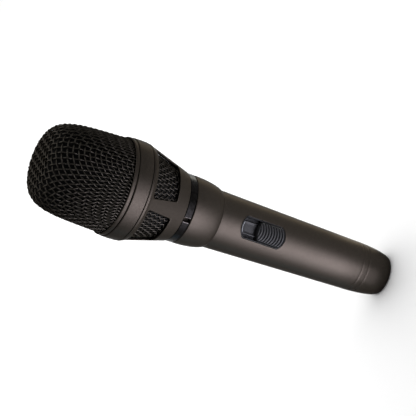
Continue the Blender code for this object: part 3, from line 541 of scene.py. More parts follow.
FINISHES = {
    "satin_metal": grained(
        "satin_gunmetal", (0.025, 0.0208, 0.0172), (0.042, 0.0361, 0.0302), 5200.0, (0.45, 0.38),
        metallic=1.0, relief=0.12, depth=0.03 * MM, edge=0.45,
    ),
    "black_wire": grained(
        "lacquered_wire", (0.024, 0.0217, 0.0185), (0.048, 0.0432, 0.037), 2600.0, (0.36, 0.27),
        metallic=1.0, relief=0.1, depth=0.03 * MM, edge=0.2,
    ),
    "gloss_black": grained(
        "gloss_black", (0.0036, 0.0033, 0.0032), (0.0072, 0.0068, 0.0066), 900.0, (0.2, 0.3),
        metallic=0.85, specular=0.1, detail=4.0, edge=0.6,
    ),
    "dark_plastic": grained(
        "moulded_plastic", (0.003, 0.0032, 0.0036), (0.008, 0.0084, 0.009), PLASTIC_GRAIN, (0.32, 0.42),
        specular=0.2, **MOULDED,
    ),
    "foam": grained(
        "open_foam", (0.001, 0.001, 0.001), (0.007, 0.007, 0.0065), 2200.0, (0.85, 1.0), specular=0.05,
        relief=0.9, depth=0.4 * MM, detail=4.0,
    ),
    "cloth": woven("acoustic_cloth", (0.003, 0.003, 0.003), (0.012, 0.012, 0.012), 2500.0, (0.8, 1.0)),
    "rubber": grained(
        "matt_rubber", (0.012, 0.012, 0.012), (0.024, 0.024, 0.024), 3000.0, (0.7, 0.9), specular=0.3,
        relief=0.2,
    ),
    "steel": grained(
        "plated_steel", (0.42, 0.42, 0.42), (0.56, 0.56, 0.55), 1800.0, (0.24, 0.4), metallic=1.0,
        stretch=(1.0, 1.0, 0.1),
    ),
    "copper": grained(
        "enamelled_copper", (0.45, 0.17, 0.07), (0.75, 0.36, 0.18), 1400.0, (0.25, 0.4), metallic=1.0,
        stretch=(0.02, 0.02, 4.0), relief=0.6, depth=0.1 * MM,
    ),
    "film": grained(
        "clear_film", (0.55, 0.5, 0.36), (0.66, 0.6, 0.45), 500.0, (0.2, 0.35), detail=3.0, relief=0.1,
    ),
    "magnet_grey": grained(
        "ground_magnet", (0.06, 0.06, 0.065), (0.11, 0.11, 0.115), 2500.0, (0.4, 0.6), metallic=0.6,
        relief=0.2,
    ),
    "board_green": grained(
        "solder_mask", (0.012, 0.10, 0.035), (0.03, 0.19, 0.07), 700.0, (0.3, 0.5), detail=0.0,
        stretch=(1.0, 1.0, 0.2), relief=0.2,
    ),
    "silver": grained(
        "silver_plate", (0.62, 0.6, 0.55), (0.82, 0.8, 0.76), 2200.0, (0.18, 0.34), metallic=1.0,
        stretch=(1.0, 1.0, 0.15),
    ),
    "wire_red": grained(
        "red_insulation", (0.3, 0.012, 0.012), (0.45, 0.03, 0.03), 1500.0, (0.4, 0.6), relief=0.1,
    ),
    "wire_white": grained(
        "white_insulation", (0.6, 0.6, 0.57), (0.78, 0.78, 0.75), 1500.0, (0.4, 0.6), relief=0.1,
    ),
}
# Lighter copy of the moulded plastic for the button's ridges: a painted highlight.
PAINTED_RIB_HIGHLIGHT = grained(
    "painted_rib_highlight", (0.007, 0.0072, 0.0078), (0.014, 0.0144, 0.0152), PLASTIC_GRAIN, (0.32, 0.42),
    specular=0.26, **MOULDED,
)
# Darker copy of the moulded plastic for the button's grooves: a painted shade.
PAINTED_GROOVE_SHADE = grained(
    "painted_groove_shade", (0.0015, 0.0016, 0.0018), (0.004, 0.0042, 0.0045), PLASTIC_GRAIN, (0.5, 0.6),
    specular=0.05, **MOULDED,
)
# Lighter copy of the moulded plastic for the bars of the switch tray's panel: a painted highlight.
PAINTED_BAR_HIGHLIGHT = grained(
    "painted_bar_highlight", (0.09, 0.094, 0.098), (0.15, 0.156, 0.162), PLASTIC_GRAIN, (0.40, 0.52),
    specular=0.2, **MOULDED,
)
# Lighter bare metal for the split ring's cut ends, partly a painted highlight of the light lines there.
BARE_END_AND_HIGHLIGHT = grained(
    "bare_end_metal_and_highlight", (0.07, 0.063, 0.06), (0.14, 0.125, 0.12), 6000.0, (0.3, 0.45), metallic=1.0,
    stretch=(1.0, 1.0, 6.0),
)


def finish_nodes():
    """Give every CAD node the procedural finish of its slot."""
    for subpart in frame["record"]["subparts"]:
        mesh = frame["nodes"][subpart["node"]].data
        mesh.materials.clear()
        mesh.materials.append(FINISHES[subpart["material_slot"]])


# Handle

def handle_radius(height):
    """Outside of the handle below its collar."""
    if height < TAIL_ROUND:
        reach = superellipse(1 - height / TAIL_ROUND, TAIL_POWER)
        return TAIL_EDGE_R + (HANDLE_TAIL_R - TAIL_EDGE_R) * reach
    return blend((height - TAIL_ROUND) / (HANDLE_LENGTH - TAIL_ROUND), HANDLE_TAIL_R, HANDLE_TOP_R)


def handle_bore(height):
    """Inside of the handle between the connector's shoulder and the neck's stem."""
    share = (height - SHOULDER_TOP) / (STEM_SOCKET_FLOOR - SHOULDER_TOP)
    return blend(share, handle_radius(SHOULDER_TOP) - HANDLE_WALL, HANDLE_TOP_R - HANDLE_WALL)


def collar_outline():
    """Outside of the collar from its top edge down to the grip."""
    straight_foot = COLLAR_TOP - COLLAR_STRAIGHT
    points = rounded([
        (STEM_SOCKET_R, COLLAR_TOP), (COLLAR_R, COLLAR_TOP, COLLAR_EDGE_R), (COLLAR_R, straight_foot),
    ])
    run = straight_foot - HANDLE_LENGTH
    for step in range(1, CURVE_STEPS + 1):
        turn = pi / 2 * step / CURVE_STEPS
        reach = max(cos(turn), 0.0) ** (2 / COLLAR_POWER)
        drop = sin(turn) ** (2 / COLLAR_POWER)
        points.append((blend(reach, HANDLE_TOP_R, COLLAR_R), straight_foot - run * drop))
    return points


def end_sag(across):
    """How far the round end of the switch falls back at a sideways offset."""
    return SWITCH_END_R - sqrt(SWITCH_END_R ** 2 - across ** 2)


def switch_edge(across, along, grow):
    """Point (x, height) of the switch opening's edge for a point of the unit square's edge."""
    x = across * (SWITCH_HALF_WIDTH + grow)
    return x, SWITCH_MIDDLE + along * (SWITCH_LENGTH / 2 + grow - end_sag(x))


def switch_loop(grow, depth, radius_at=handle_radius):
    def loop(across, along):
        x, height = switch_edge(across, along, grow)
        return x, depth - sqrt(radius_at(height) ** 2 - x * x), height
    return loop


def screw_loop(grow, depth, radius_at=handle_radius):
    def loop(across, along):
        turn = atan2(along, across)
        x = (SET_SCREW_HOLE_R + grow) * cos(turn)
        height = SET_SCREW_HEIGHT + (SET_SCREW_HOLE_R + grow) * sin(turn)
        return x, sqrt(radius_at(height) ** 2 - x * x) - depth, height
    return loop


def even_heights(foot, top, step):
    """Heights from the foot to the top, evenly spaced by about a step."""
    count = round((top - foot) / step)
    return [blend(index / count, foot, top) for index in range(count + 1)]


def make_handle():
    """Shell of the handle, pierced for the switch and the set screw."""
    switch_top = SWITCH_FOOT + SWITCH_LENGTH
    switch_zone = even_heights(SWITCH_FOOT - SWITCH_MARGIN, switch_top + SWITCH_MARGIN, SWITCH_ROW)
    screw_zone = even_heights(SET_SCREW_HEIGHT - SCREW_MARGIN, SET_SCREW_HEIGHT + SCREW_MARGIN, SCREW_ROW)
    between = even_heights(screw_zone[-1], switch_zone[0], GRIP_ROW)[1:-1]
    above = even_heights(switch_zone[-1], HANDLE_LENGTH, UPPER_ROW)[1:-1]
    heights = screw_zone + between + switch_zone + above
    tail = [TAIL_ROUND * (1 - sin(pi / 2 * step / CURVE_STEPS)) for step in range(CURVE_STEPS + 1)]
    heights += [height for height in tail if height < screw_zone[0] - TAIL_LINE_HALF]
    outline = [(height, 0.0) for height in heights]
    for line in TAIL_LINES:
        outline = [row for row in outline if abs(row[0] - line) > 2 * TAIL_LINE_HALF]
        outline += [(line - TAIL_LINE_HALF, 0.0), (line, TAIL_LINE_DEPTH), (line + TAIL_LINE_HALF, 0.0)]
    outer = collar_outline()
    outer += [(handle_radius(height) - depth, height) for height, depth in sorted(outline, reverse=True)]
    inner = [(SOCKET_R, 0.0)] + [(SOCKET_R, height) for height in screw_zone]
    inner += [(SOCKET_R, SHOULDER_FOOT), (SHOULDER_R, SHOULDER_FOOT), (SHOULDER_R, SHOULDER_TOP)]
    inner.append((handle_bore(SHOULDER_TOP), SHOULDER_TOP))
    inner += [(handle_bore(height), height) for height in switch_zone]
    inner += [(handle_bore(STEM_SOCKET_FLOOR), STEM_SOCKET_FLOOR), (STEM_SOCKET_R, STEM_SOCKET_FLOOR)]
    switch_loops = hole_loops(switch_loop, SWITCH_EDGE_R, handle_bore)
    screw_loops = hole_loops(screw_loop, SET_SCREW_EDGE_R, lambda height: SOCKET_R)
    holes = [
        (-pi / 2, SWITCH_HALF_COLUMNS, switch_zone, switch_loops),
        (pi / 2, SCREW_HALF_COLUMNS, screw_zone, screw_loops),
    ]
    shape = pierced(outer + inner, len(outer), FINE_STEPS, 0.0, holes)
    crisp(piece("handle_shell", shape, "body", "satin_metal", "handle"))


# Neck with its windows, mesh and cloth

def neck_radius(height):
    """Outside of the neck's cone, below the plain band at its top."""
    return blend((height - NECK_FOOT) / (NECK_TOP - NECK_LIP - NECK_FOOT), NECK_FOOT_R, NECK_TOP_R)


def neck_inner_radius(height):
    return neck_radius(height) - NECK_WALL


def lining_foot_r(top_r, foot, top):
    """Foot radius of a cone that runs down the inside of the neck."""
    return top_r - (neck_inner_radius(top) - neck_inner_radius(foot))


def window_edge(across, along, grow):
    """Point (azimuth from the window's middle, height) of a window's edge, a rounded trapezoid."""
    middle, half_height = (WINDOW_FOOT + WINDOW_TOP) / 2, (WINDOW_TOP - WINDOW_FOOT) / 2 + grow
    middle_r = neck_radius(middle)
    half_width = middle_r * (WINDOW_TOP_SPREAD + WINDOW_FOOT_SPREAD) / 4 + grow
    corner = WINDOW_CORNER_R + grow
    x, rise = across * half_width, along * half_height
    corner_x, corner_rise = half_width - corner, half_height - corner
    if abs(x) > corner_x and abs(rise) > corner_rise:
        out_x, out_rise = abs(x) - corner_x, abs(rise) - corner_rise
        pull = corner / hypot(out_x, out_rise)
        x = copysign(corner_x + out_x * pull, x)
        rise = copysign(corner_rise + out_rise * pull, rise)
    flare = (WINDOW_TOP_SPREAD - WINDOW_FOOT_SPREAD) / (WINDOW_TOP_SPREAD + WINDOW_FOOT_SPREAD)
    return x / middle_r * (1 + flare * rise / half_height), middle + rise


def window_loop(azimuth, grow, depth, radius_at=neck_radius):
    def loop(across, along):
        turn, height = window_edge(across, along, grow)
        radius = radius_at(height) - depth
        return radius * cos(azimuth + turn), radius * sin(azimuth + turn), height
    return loop


def make_neck():
    """Cone of the neck with its stem, its thread and the windows round it."""
    zone = even_heights(WINDOW_FOOT - WINDOW_MARGIN, WINDOW_TOP + WINDOW_MARGIN, WINDOW_ROW)
    above = rounded([
        (THREAD_R, THREAD_TOP), (THREAD_R, NECK_TOP), (NECK_TOP_R, NECK_TOP, NECK_TOP_EDGE_R),
        (NECK_TOP_R, NECK_TOP - NECK_BAND, NECK_BAND_EDGE_R), (neck_radius(zone[-1]), zone[-1]),
    ])
    below = rounded([
        (neck_radius(zone[0]), zone[0]), (NECK_FOOT_R, NECK_FOOT, NECK_FOOT_EDGE_R), (NECK_STEM_R, NECK_FOOT),
    ])
    outer = above[:-1] + [(neck_radius(height), height) for height in reversed(zone)] + below[1:]
    inner = [
        (NECK_STEM_R, STEM_FOOT), (NECK_STEM_INNER_R, STEM_FOOT), (NECK_STEM_INNER_R, NECK_FLOOR_FOOT),
        (NECK_FLOOR_HOLE_R, NECK_FLOOR_FOOT), (NECK_FLOOR_HOLE_R, NECK_FLOOR_TOP),
        (NECK_WELL_R, NECK_FLOOR_TOP), (neck_inner_radius(NECK_WELL_TOP), NECK_WELL_TOP),
    ]
    inner += [(neck_inner_radius(height), height) for height in zone + [NECK_LEDGE_FOOT]]
    inner += [(THREAD_INNER_R, NECK_LEDGE_FOOT), (THREAD_INNER_R, THREAD_TOP)]
    holes = []
    for index in range(WINDOW_COUNT):
        azimuth = WINDOW_AZIMUTH + 2 * pi * index / WINDOW_COUNT
        loops = hole_loops(partial(window_loop, azimuth), WINDOW_EDGE_R, neck_inner_radius)
        holes.append((azimuth, WINDOW_HALF_COLUMNS, zone, loops))
    shape = pierced(outer + inner, len(outer), WINDOW_STEPS, WINDOW_AZIMUTH, holes)
    crisp(piece("neck_cone", shape, "body", "satin_metal", "neck"))


def make_neck_liner():
    """Cloth stretched over the inside of the neck's mesh, a single sheet wrapped into a cone."""
    foot_r = lining_foot_r(LINER_TOP_R, LINER_FOOT, LINER_TOP)
    angles = [2 * pi * step / LINER_STEPS for step in range(LINER_STEPS)]
    verts, loops = [], []
    for row in range(LINER_ROWS + 1):
        radius = blend(row / LINER_ROWS, foot_r, LINER_TOP_R)
        height = blend(row / LINER_ROWS, LINER_FOOT, LINER_TOP)
        loops.append(list(range(len(verts), len(verts) + LINER_STEPS)))
        verts += [(radius * cos(angle), radius * sin(angle), height) for angle in angles]
    liner = piece("neck_liner_cloth", (verts, sleeve(loops)), "body", "cloth", "neck_liner")


# Rings

def make_rings():
    """Crowned band of the coupling ring, and the bead at the grille's mouth."""
    edge_r = RING_R - RING_EDGE_DROP
    ring = rounded([
        (RING_THREAD_R, RING_FOOT), (RING_THREAD_R, RING_LIP_FOOT), (RING_LIP_R, RING_LIP_FOOT),
        (RING_LIP_R, RING_TOP), (edge_r, RING_TOP, RING_TOP_EDGE_R),
        (RING_R, (RING_TOP + RING_FOOT) / 2, RING_CROWN_R), (edge_r, RING_FOOT, RING_FOOT_EDGE_R),
        (RING_THREAD_R + RING_FOOT_STEP, RING_FOOT),
    ])
    crisp(piece("coupling_ring_band", turned(ring), "ring", "satin_metal", "coupling_ring"))
    lip_r = BEAD_R - BEAD_LIP
    rim = rounded([
        (lip_r, BEAD_SEAT_TOP), (lip_r, BEAD_TOP, BEAD_LIP_EDGE_R), (BEAD_R, BEAD_TOP, BEAD_TOP_EDGE_R),
        (BEAD_R, BEAD_FOOT, BEAD_FOOT_EDGE_R), (RIM_THROAT_R, BEAD_FOOT), (RIM_THROAT_R, RIM_FLANGE_TOP),
        (THREAD_R, RIM_FLANGE_TOP), (THREAD_R, RIM_FOOT), (THREAD_INNER_R, RIM_FOOT),
        (THREAD_INNER_R, BEAD_SEAT_TOP),
    ])
    crisp(piece("grille_bead", turned(rim), "grille", "satin_metal", "grille_rim"))


def make_accent_ring():
    """Glossy split ring with two rounded ends that leave a narrow gap. The ends are a lighter bare metal,
    which also paints the light lines that they catch, a painted highlight.
    """
    profile = rounded([
        (ACCENT_INNER_R, ACCENT_TOP), (ACCENT_R, ACCENT_TOP, ACCENT_EDGE_R),
        (ACCENT_R, ACCENT_FOOT, ACCENT_EDGE_R), (ACCENT_INNER_R, ACCENT_FOOT),
    ])
    middle_r, middle_h = (ACCENT_INNER_R + ACCENT_R) / 2, (ACCENT_FOOT + ACCENT_TOP) / 2
    half_gap = ACCENT_SPLIT / 2 / ACCENT_R
    stations = edge_round(ACCENT_END_ROUND)
    start, finish = ACCENT_SPLIT_AZIMUTH + half_gap, ACCENT_SPLIT_AZIMUTH - half_gap + 2 * pi
    turns = [(start + inset / ACCENT_R, shrink) for shrink, inset in stations]
    turns += [(blend(step / FINE_STEPS, start, finish), 0.0) for step in range(1, FINE_STEPS)]
    turns += [(finish - inset / ACCENT_R, shrink) for shrink, inset in reversed(stations)]
    verts, rings = [], []
    for angle, shrink in turns:
        rings.append(list(range(len(verts), len(verts) + len(profile))))
        for radius, height in profile:
            r = radius - copysign(min(shrink, abs(radius - middle_r)), radius - middle_r)
            h = height - copysign(min(shrink, abs(height - middle_h)), height - middle_h)
            verts.append((r * cos(angle), r * sin(angle), h))
    faces = capped(rings)
    ring = piece("accent_split_ring", (verts, faces), "body", "gloss_black", "accent_ring")
    # The rounded ends take the lighter metal: bare metal at the cut ends, and partly a painted highlight.
    ring.data.materials.append(BARE_END_AND_HIGHLIGHT)
    rounding = ARC_STEPS * len(profile)
    for index in [*range(rounding), *range(len(faces) - 2 - rounding, len(faces))]:
        ring.data.polygons[index].material_index = 1
    crisp(ring)


# Woven wire

class Meridian:
    """Line from a pole down the side of a turned surface, read by its arc length from the pole."""

    def __init__(self, points):
        self.points = points
        self.arcs = [0.0]
        for near, far in zip(points, points[1:]):
            self.arcs.append(self.arcs[-1] + hypot(far[0] - near[0], far[1] - near[1]))

    def at(self, arc):
        """Radius, height and outward direction (radial, axial) at an arc length."""
        index = min(max(bisect_left(self.arcs, arc), 1), len(self.arcs) - 1)
        near, far = self.points[index - 1], self.points[index]
        run = self.arcs[index] - self.arcs[index - 1]
        share = (arc - self.arcs[index - 1]) / run
        out = (near[1] - far[1]) / run, (far[0] - near[0]) / run
        return blend(share, near[0], far[0]), blend(share, near[1], far[1]), out

    def place(self, arc, azimuth, lift):
        """Point lifted off the surface, and the outward normal there."""
        radius, height, (out_r, out_h) = self.at(arc)
        normal = Vector((out_r * cos(azimuth), out_r * sin(azimuth), out_h))
        return Vector((radius * cos(azimuth), radius * sin(azimuth), height)) + lift * normal, normal


def hermite(share, start, end, start_slope, end_slope):
    """Cubic between two values with given slopes, for a share from 0 to 1."""
    rest = 1 - share
    ends = (1 + 2 * share) * rest * rest * start + share * share * (3 - 2 * share) * end
    return ends + share * rest * rest * start_slope - share * share * rest * end_slope


def grille_strands(arc, turn):
    """Count of wires passed between the first line down the basket and an angle of turn within a quarter.

    The wires cross squarely on the flat top, and down the side they crowd together between the four lines
    where they still run straight.
    """
    flat_rate = sqrt(0.5) / GRILLE_PITCH
    eased = arc + hypot(SHOULDER_ARC, SHOULDER_EASE) - hypot(arc - SHOULDER_ARC, SHOULDER_EASE)
    diagonal = SIDE_STRANDS_PER_MM * arc + (flat_rate - SIDE_STRANDS_PER_MM) * eased / 2
    side = smooth_share(arc, DOME_ARC, SIDE_ARC)
    first_slope = diagonal * blend(side, DOME_RATES[0], SIDE_RATES[0])
    middle_slope = diagonal * blend(side, DOME_RATES[1], SIDE_RATES[1])
    half_quarter = pi / 4
    if turn < half_quarter:
        return hermite(turn / half_quarter, 0.0, diagonal, first_slope, middle_slope)
    return hermite(turn / half_quarter - 1, diagonal, arc / GRILLE_PITCH, middle_slope, 0.0)


def neck_strands(arc, turn):
    """Count of wires passed on a flat sheet of mesh pressed into a cup."""
    return arc * sin(turn) / NECK_PITCH


def trace_wire(strands, meridian, pitch, number, last_arc):
    """Half of a wire as (arc, turn) places, from the line that it crosses squarely to the last arc."""
    arc, turn = number * pitch, pi / 2
    places = [(arc, turn)]
    nudge = 1e-4
    while arc < last_arc and turn > 0.0:
        radius = max(meridian.at(arc)[0], nudge)
        along = (strands(arc + nudge, turn) - strands(arc - nudge, turn)) / (2 * nudge)
        about = (strands(arc, turn + nudge) - strands(arc, turn - nudge)) / (2 * nudge) / radius
        if len(places) == 1:
            about = 0.0
        steep = hypot(along, about)
        arc += TRACE_STEP * about / steep
        turn -= TRACE_STEP * along / steep / radius
        missing = (number - strands(arc, turn)) / (steep * steep)
        arc += missing * along
        turn += missing * about / radius
        places.append((arc, turn))
    return places


def weave(strands, meridian, pitch, wire, first_arc, last_arc, azimuth):
    """Plain weave of round wires over a turned surface, the same in each of its four quarters."""
    lift = wire / 2
    parts = []
    straight = even_heights(-last_arc, last_arc, TRACE_STEP)
    for number in range(int(last_arc / pitch) + 1):
        if number:
            half = trace_wire(strands, meridian, pitch, number, last_arc)
            places = [(arc, pi - turn, strands(arc, pi / 2 - turn)) for arc, turn in reversed(half[1:])]
            places += [(arc, turn, strands(arc, pi / 2 - turn)) for arc, turn in half]
        else:
            places = [(abs(arc), 0.0 if arc > 0 else pi, abs(arc) / pitch) for arc in straight]
        for quarter in range(4 if number else 2):
            over = lift if quarter % 2 == 0 else -lift
            runs = [[]]
            for arc, turn, crossing in places:
                if first_arc <= arc <= last_arc + TRACE_STEP:
                    rise = over * cos(pi * (crossing + number))
                    runs[-1].append(meridian.place(arc, azimuth + quarter * pi / 2 + turn, rise))
                elif runs[-1]:
                    runs.append([])
            parts += [tube(run, wire / 2) for run in runs if len(run) > 2]
    return joined(parts)


def grille_line(inset, foot, steps=GRILLE_STEPS):
    """Outline of the basket drawn in by an inset, from its pole to a height at its foot."""
    widest, rise = BASKET_R - inset, BASKET_TOP - BASKET_FOOT - inset
    points = []
    for step in range(steps + 1):
        turn = pi / 2 * (1 - step / steps)
        share = sin(turn) ** (2 / GRILLE_POWER)
        reach = cos(turn) ** (2 / GRILLE_POWER) if step else 0.0
        points.append((reach * (widest - GRILLE_TAPER * share), BASKET_FOOT + rise * share))
    return [point for point in points if point[1] > foot] + [(widest, foot)]


def make_grille():
    """Woven wires of the basket, from its pole down into the bead."""
    meridian = Meridian(grille_line(GRILLE_WIRE, GRILLE_SEAT))
    last_arc = meridian.arcs[-1] - TRACE_STEP
    shape = weave(grille_strands, meridian, GRILLE_PITCH, GRILLE_WIRE, 0.0, last_arc, GRILLE_AZIMUTH)
    piece("grille_wires", shape, "grille", "black_wire", "grille_basket")


def make_foam():
    """Foam lining of the basket, a soft dome with shallow hollows over its sides."""
    inset = BASKET_R - FOAM_R
    outer = grille_line(inset, FOAM_FOOT, FOAM_ROWS)
    inner = grille_line(inset + FOAM_WALL, FOAM_FOOT, FOAM_ROWS)
    profile = outer[1:] + inner[:0:-1]
    count = len(profile)
    verts, faces = turned(profile, FOAM_STEPS, skip={(step, count - 1) for step in range(FOAM_STEPS)})
    faces.append(tuple(step * count for step in range(FOAM_STEPS)))
    faces.append(tuple(step * count + count - 1 for step in reversed(range(FOAM_STEPS))))
    swollen = []
    for x, y, height in verts:
        wave = sin(FOAM_LOBES * atan2(y, x) + height) * sin(FOAM_WAVES_PER_MM * height)
        swell = 1 - FOAM_SWELL * (1 + wave)
        swollen.append((x * swell, y * swell, height))
    foam = piece("windscreen_foam_lining", (swollen, faces), "grille", "foam", "windscreen_foam")


def make_neck_mesh():
    """Finer woven wires behind the neck's windows, the wall of a cup that has no floor."""
    top_r = MESH_TOP_R - NECK_WIRE
    foot_r = lining_foot_r(top_r, MESH_FOOT, MESH_TOP)
    meridian = Meridian([(0.0, MESH_FOOT), (foot_r, MESH_FOOT), (top_r, MESH_TOP)])
    first_arc, last_arc = meridian.arcs[1] + NECK_WIRE_START, meridian.arcs[-1] - TRACE_STEP
    shape = weave(neck_strands, meridian, NECK_PITCH, NECK_WIRE, first_arc, last_arc, WINDOW_AZIMUTH)
    piece("neck_mesh_wires", shape, "body", "black_wire", "neck_mesh")


# Switch

def ramp(value, points):
    """Piecewise straight curve through (place, level) points."""
    for (near, near_level), (far, far_level) in zip(points, points[1:]):
        if value <= far:
            return blend((value - near) / (far - near), near_level, far_level)
    return points[-1][1]


def mirrored(values):
    return sorted({-value for value in values} | set(values))


def make_bezel():
    """Sunk tray of the switch: a rim, steep walls, lined side channels and a plate with a sunk panel.

    Places on it are a distance across from the middle line and an inset from the nearer end. Levels are
    heights above the floor of the sunk panel.
    """
    half = SWITCH_HALF_WIDTH - TRIM_GAP
    wall_top, wall_foot = BEZEL_RIM, BEZEL_RIM + BEZEL_WALL_RUN
    walls = [(0.0, 0.0), (wall_top, 0.0), (wall_foot, 1.0), (SWITCH_LENGTH, 1.0)]
    floor = handle_radius(SWITCH_MIDDLE) - RECESS_DEPTH
    low = PANEL_DEPTH - CHANNEL_DEPTH
    high = low + CHANNEL_LINE_HEIGHT
    across_levels = [
        (0.0, 0.0), (PANEL_HALF_WIDTH, 0.0), (PANEL_HALF_WIDTH + STEP_RUN, PANEL_DEPTH),
        (PLATE_HALF_WIDTH, PANEL_DEPTH), (PLATE_HALF_WIDTH + STEP_RUN, low),
    ]
    for line in CHANNEL_LINES:
        across_levels += [(line - 2 * CHANNEL_LINE_HALF, low), (line - CHANNEL_LINE_HALF, high)]
        across_levels += [(line + CHANNEL_LINE_HALF, high), (line + 2 * CHANNEL_LINE_HALF, low)]
    across_levels.append((half - BEZEL_RIM - BEZEL_WALL_RUN, low))
    end_levels = [(0.0, 0.0)]
    for near, far in PANEL_BARS:
        end_levels += [(near - STEP_RUN, 0.0), (near, PANEL_DEPTH), (far, PANEL_DEPTH), (far + STEP_RUN, 0.0)]
    end_levels.append((SWITCH_LENGTH, 0.0))
    columns = [place for place, _ in across_levels]
    columns = mirrored([*columns, *PANEL_COLUMNS, half - BEZEL_RIM, half - BEZEL_EDGE, half])
    insets = [0.0, BEZEL_EDGE, wall_top, wall_foot, *(place for place, _ in end_levels[1:-1]), *TRAY_ROWS]
    places = [(inset, -1) for inset in insets]
    places += [(SWITCH_LENGTH / 2, 0)] + [(inset, 1) for inset in reversed(insets)]
    verts = []
    for inset, end in places:
        for x in columns:
            reach = SWITCH_LENGTH / 2 - TRIM_GAP - end_sag(x)
            height = SWITCH_MIDDLE + end * (reach - min(inset, reach))
            sunk = min(ramp(half - abs(x), walls), ramp(inset, walls))
            level = ramp(abs(x), across_levels)
            if abs(x) <= PLATE_HALF_WIDTH:
                level = max(level, ramp(inset, end_levels))
            edge_drop = BEZEL_EDGE if min(half - abs(x), inset) < BEZEL_EDGE / 2 else 0.0
            rim = sqrt(handle_radius(height) ** 2 - x * x) - BEZEL_SINK - edge_drop
            verts.append((x, -blend(sunk, rim, floor - PANEL_DEPTH + level), height))
    faces = block(verts, len(columns), floor - CHANNEL_DEPTH - BEZEL_FLOOR)
    tray = piece("switch_tray", (verts, faces), "body", "dark_plastic", "switch_bezel")
    tray.data.materials.append(PAINTED_BAR_HIGHLIGHT)
    # Faces on the bars of the sunk panel take the lighter plastic, a painted highlight.
    for row, (near, far) in enumerate(zip(places, places[1:])):
        on_bar = near[1] > 0 and any(first <= far[0] < near[0] <= last for first, last in PANEL_BARS)
        for column, (left, right) in enumerate(zip(columns, columns[1:])):
            if on_bar and -PANEL_HALF_WIDTH <= left < right <= PANEL_HALF_WIDTH:
                tray.data.polygons[row * (len(columns) - 1) + column].material_index = 1
    crisp(tray)


def make_button():
    """Thumb button with crisp curved ribs, rounded over at its sides and ends. Its ridges are a lighter copy
    of the plastic, a painted highlight, and its grooves a darker copy, a painted shade.
    """
    crown = handle_radius(SWITCH_MIDDLE) + BUTTON_PROUD
    verts, swells = [], []
    for row in range(BUTTON_ROWS + 1):
        for column in range(BUTTON_COLUMNS + 1):
            across = sin(pi / 2 * (2 * column / BUTTON_COLUMNS - 1))
            x = across * BUTTON_HALF_WIDTH
            tail = BUTTON_FOOT + end_sag(x)
            front = BUTTON_FOOT + BUTTON_LENGTH - BUTTON_FRONT_BULGE * across * across
            height = blend(row / BUTTON_ROWS, tail, front)
            swells.append(abs(sin(pi * (height - tail) / RIB_PITCH)))
            rib = RIB_HEIGHT * swells[-1] ** RIB_POWER
            inset = min(BUTTON_HALF_WIDTH - abs(x), height - tail, front - height, BUTTON_EDGE) / BUTTON_EDGE
            drop = BUTTON_EDGE * (1 - sqrt(1 - (1 - inset) ** 2))
            depth = sqrt(crown ** 2 - x * x) - RIB_HEIGHT + rib * inset - drop
            verts.append((x, -depth, height))
    shape = verts, block(verts, BUTTON_COLUMNS + 1, BUTTON_UNDERSIDE)
    # The button's faces take the lighter plastic, a painted highlight, except down in the grooves.
    button = piece("switch_thumb_button", shape, "switch", "dark_plastic", "switch_button", PAINTED_RIB_HIGHLIGHT)
    # Faces low in the grooves take the darker plastic, a painted shade.
    button.data.materials.append(PAINTED_GROOVE_SHADE)
    for face, corners in zip(button.data.polygons, shape[1][:BUTTON_ROWS * BUTTON_COLUMNS]):
        if sum(swells[corner] for corner in corners) / len(corners) < PAINTED_SHADE_SHARE:
            face.material_index = 1


# Stage, light and camera

FLOOR_REACH = 6.0
FLOOR_GAP = 0.2
FLOOR_COLOUR = (0.92, 0.92, 0.92, 1.0)
WORLD_COLOUR = (1.0, 1.0, 1.0, 1.0)
AMBIENT = 0.25
SEEN_LEVEL = 0.5
STRIP_FOOT_R = 42.0
STRIP_FOOT = 7.0
STRIP_TOP = 148.0
STRIP_LEAN = radians(18.0)
STRIP_STEP = radians(18.0)
STRIP_SPREAD = radians(60.0)
KEY_AZIMUTH = radians(-117.0)
KEY_STEPS = 2
KEY_POWER = 0.012
KEY_COLOUR = (1.0, 0.985, 1.13)
SIDE_AZIMUTH = radians(22.0)
SIDE_POWER = 0.009
SIDE_COLOUR = (1.0, 0.97, 0.84)
COOL_AZIMUTH = radians(168.0)
COOL_POWER = 0.0011
COOL_COLOUR = (0.1, 0.6, 1.0)
FOOT_R = 26.0
FOOT_HEIGHT = 9.0
FOOT_SIZE = (0.024, 0.022)
FOOT_SPREAD = radians(130.0)
FOOT_AZIMUTH = radians(-112.0)
FOOT_POWER = 0.0015
SIDE_FOOT_POWER = 0.0025
BOX_PLACE = (60, 360)
BOX_SIZE = (0.7, 1.1)
BOX_POWER = 3.9
BOXES = (("backdrop", 610, False), ("overhead", 590, True))
LENS = 155.9
SENSOR = 36.0
CAMERA_PLACE = (-0.08701, -0.79302, 0.40029)
CAMERA_RIGHT = (0.27550, -0.41188, -0.86860)
CAMERA_UP = (0.95557, 0.01878, 0.29418)
CAMERA_BACK = (-0.10485, -0.91105, 0.39875)


def seen_directly(tree):
    """One for rays from the camera, off gloss or through glass, and zero for the rest."""
    path = tree.nodes.new("ShaderNodeLightPath")
    total = path.outputs["Is Camera Ray"]
    for name in ("Is Glossy Ray", "Is Transmission Ray"):
        add = tree.nodes.new("ShaderNodeMath")
        add.operation = "MAXIMUM"
        tree.links.new(total, add.inputs[0])
        tree.links.new(path.outputs[name], add.inputs[1])
        total = add.outputs["Value"]
    return total


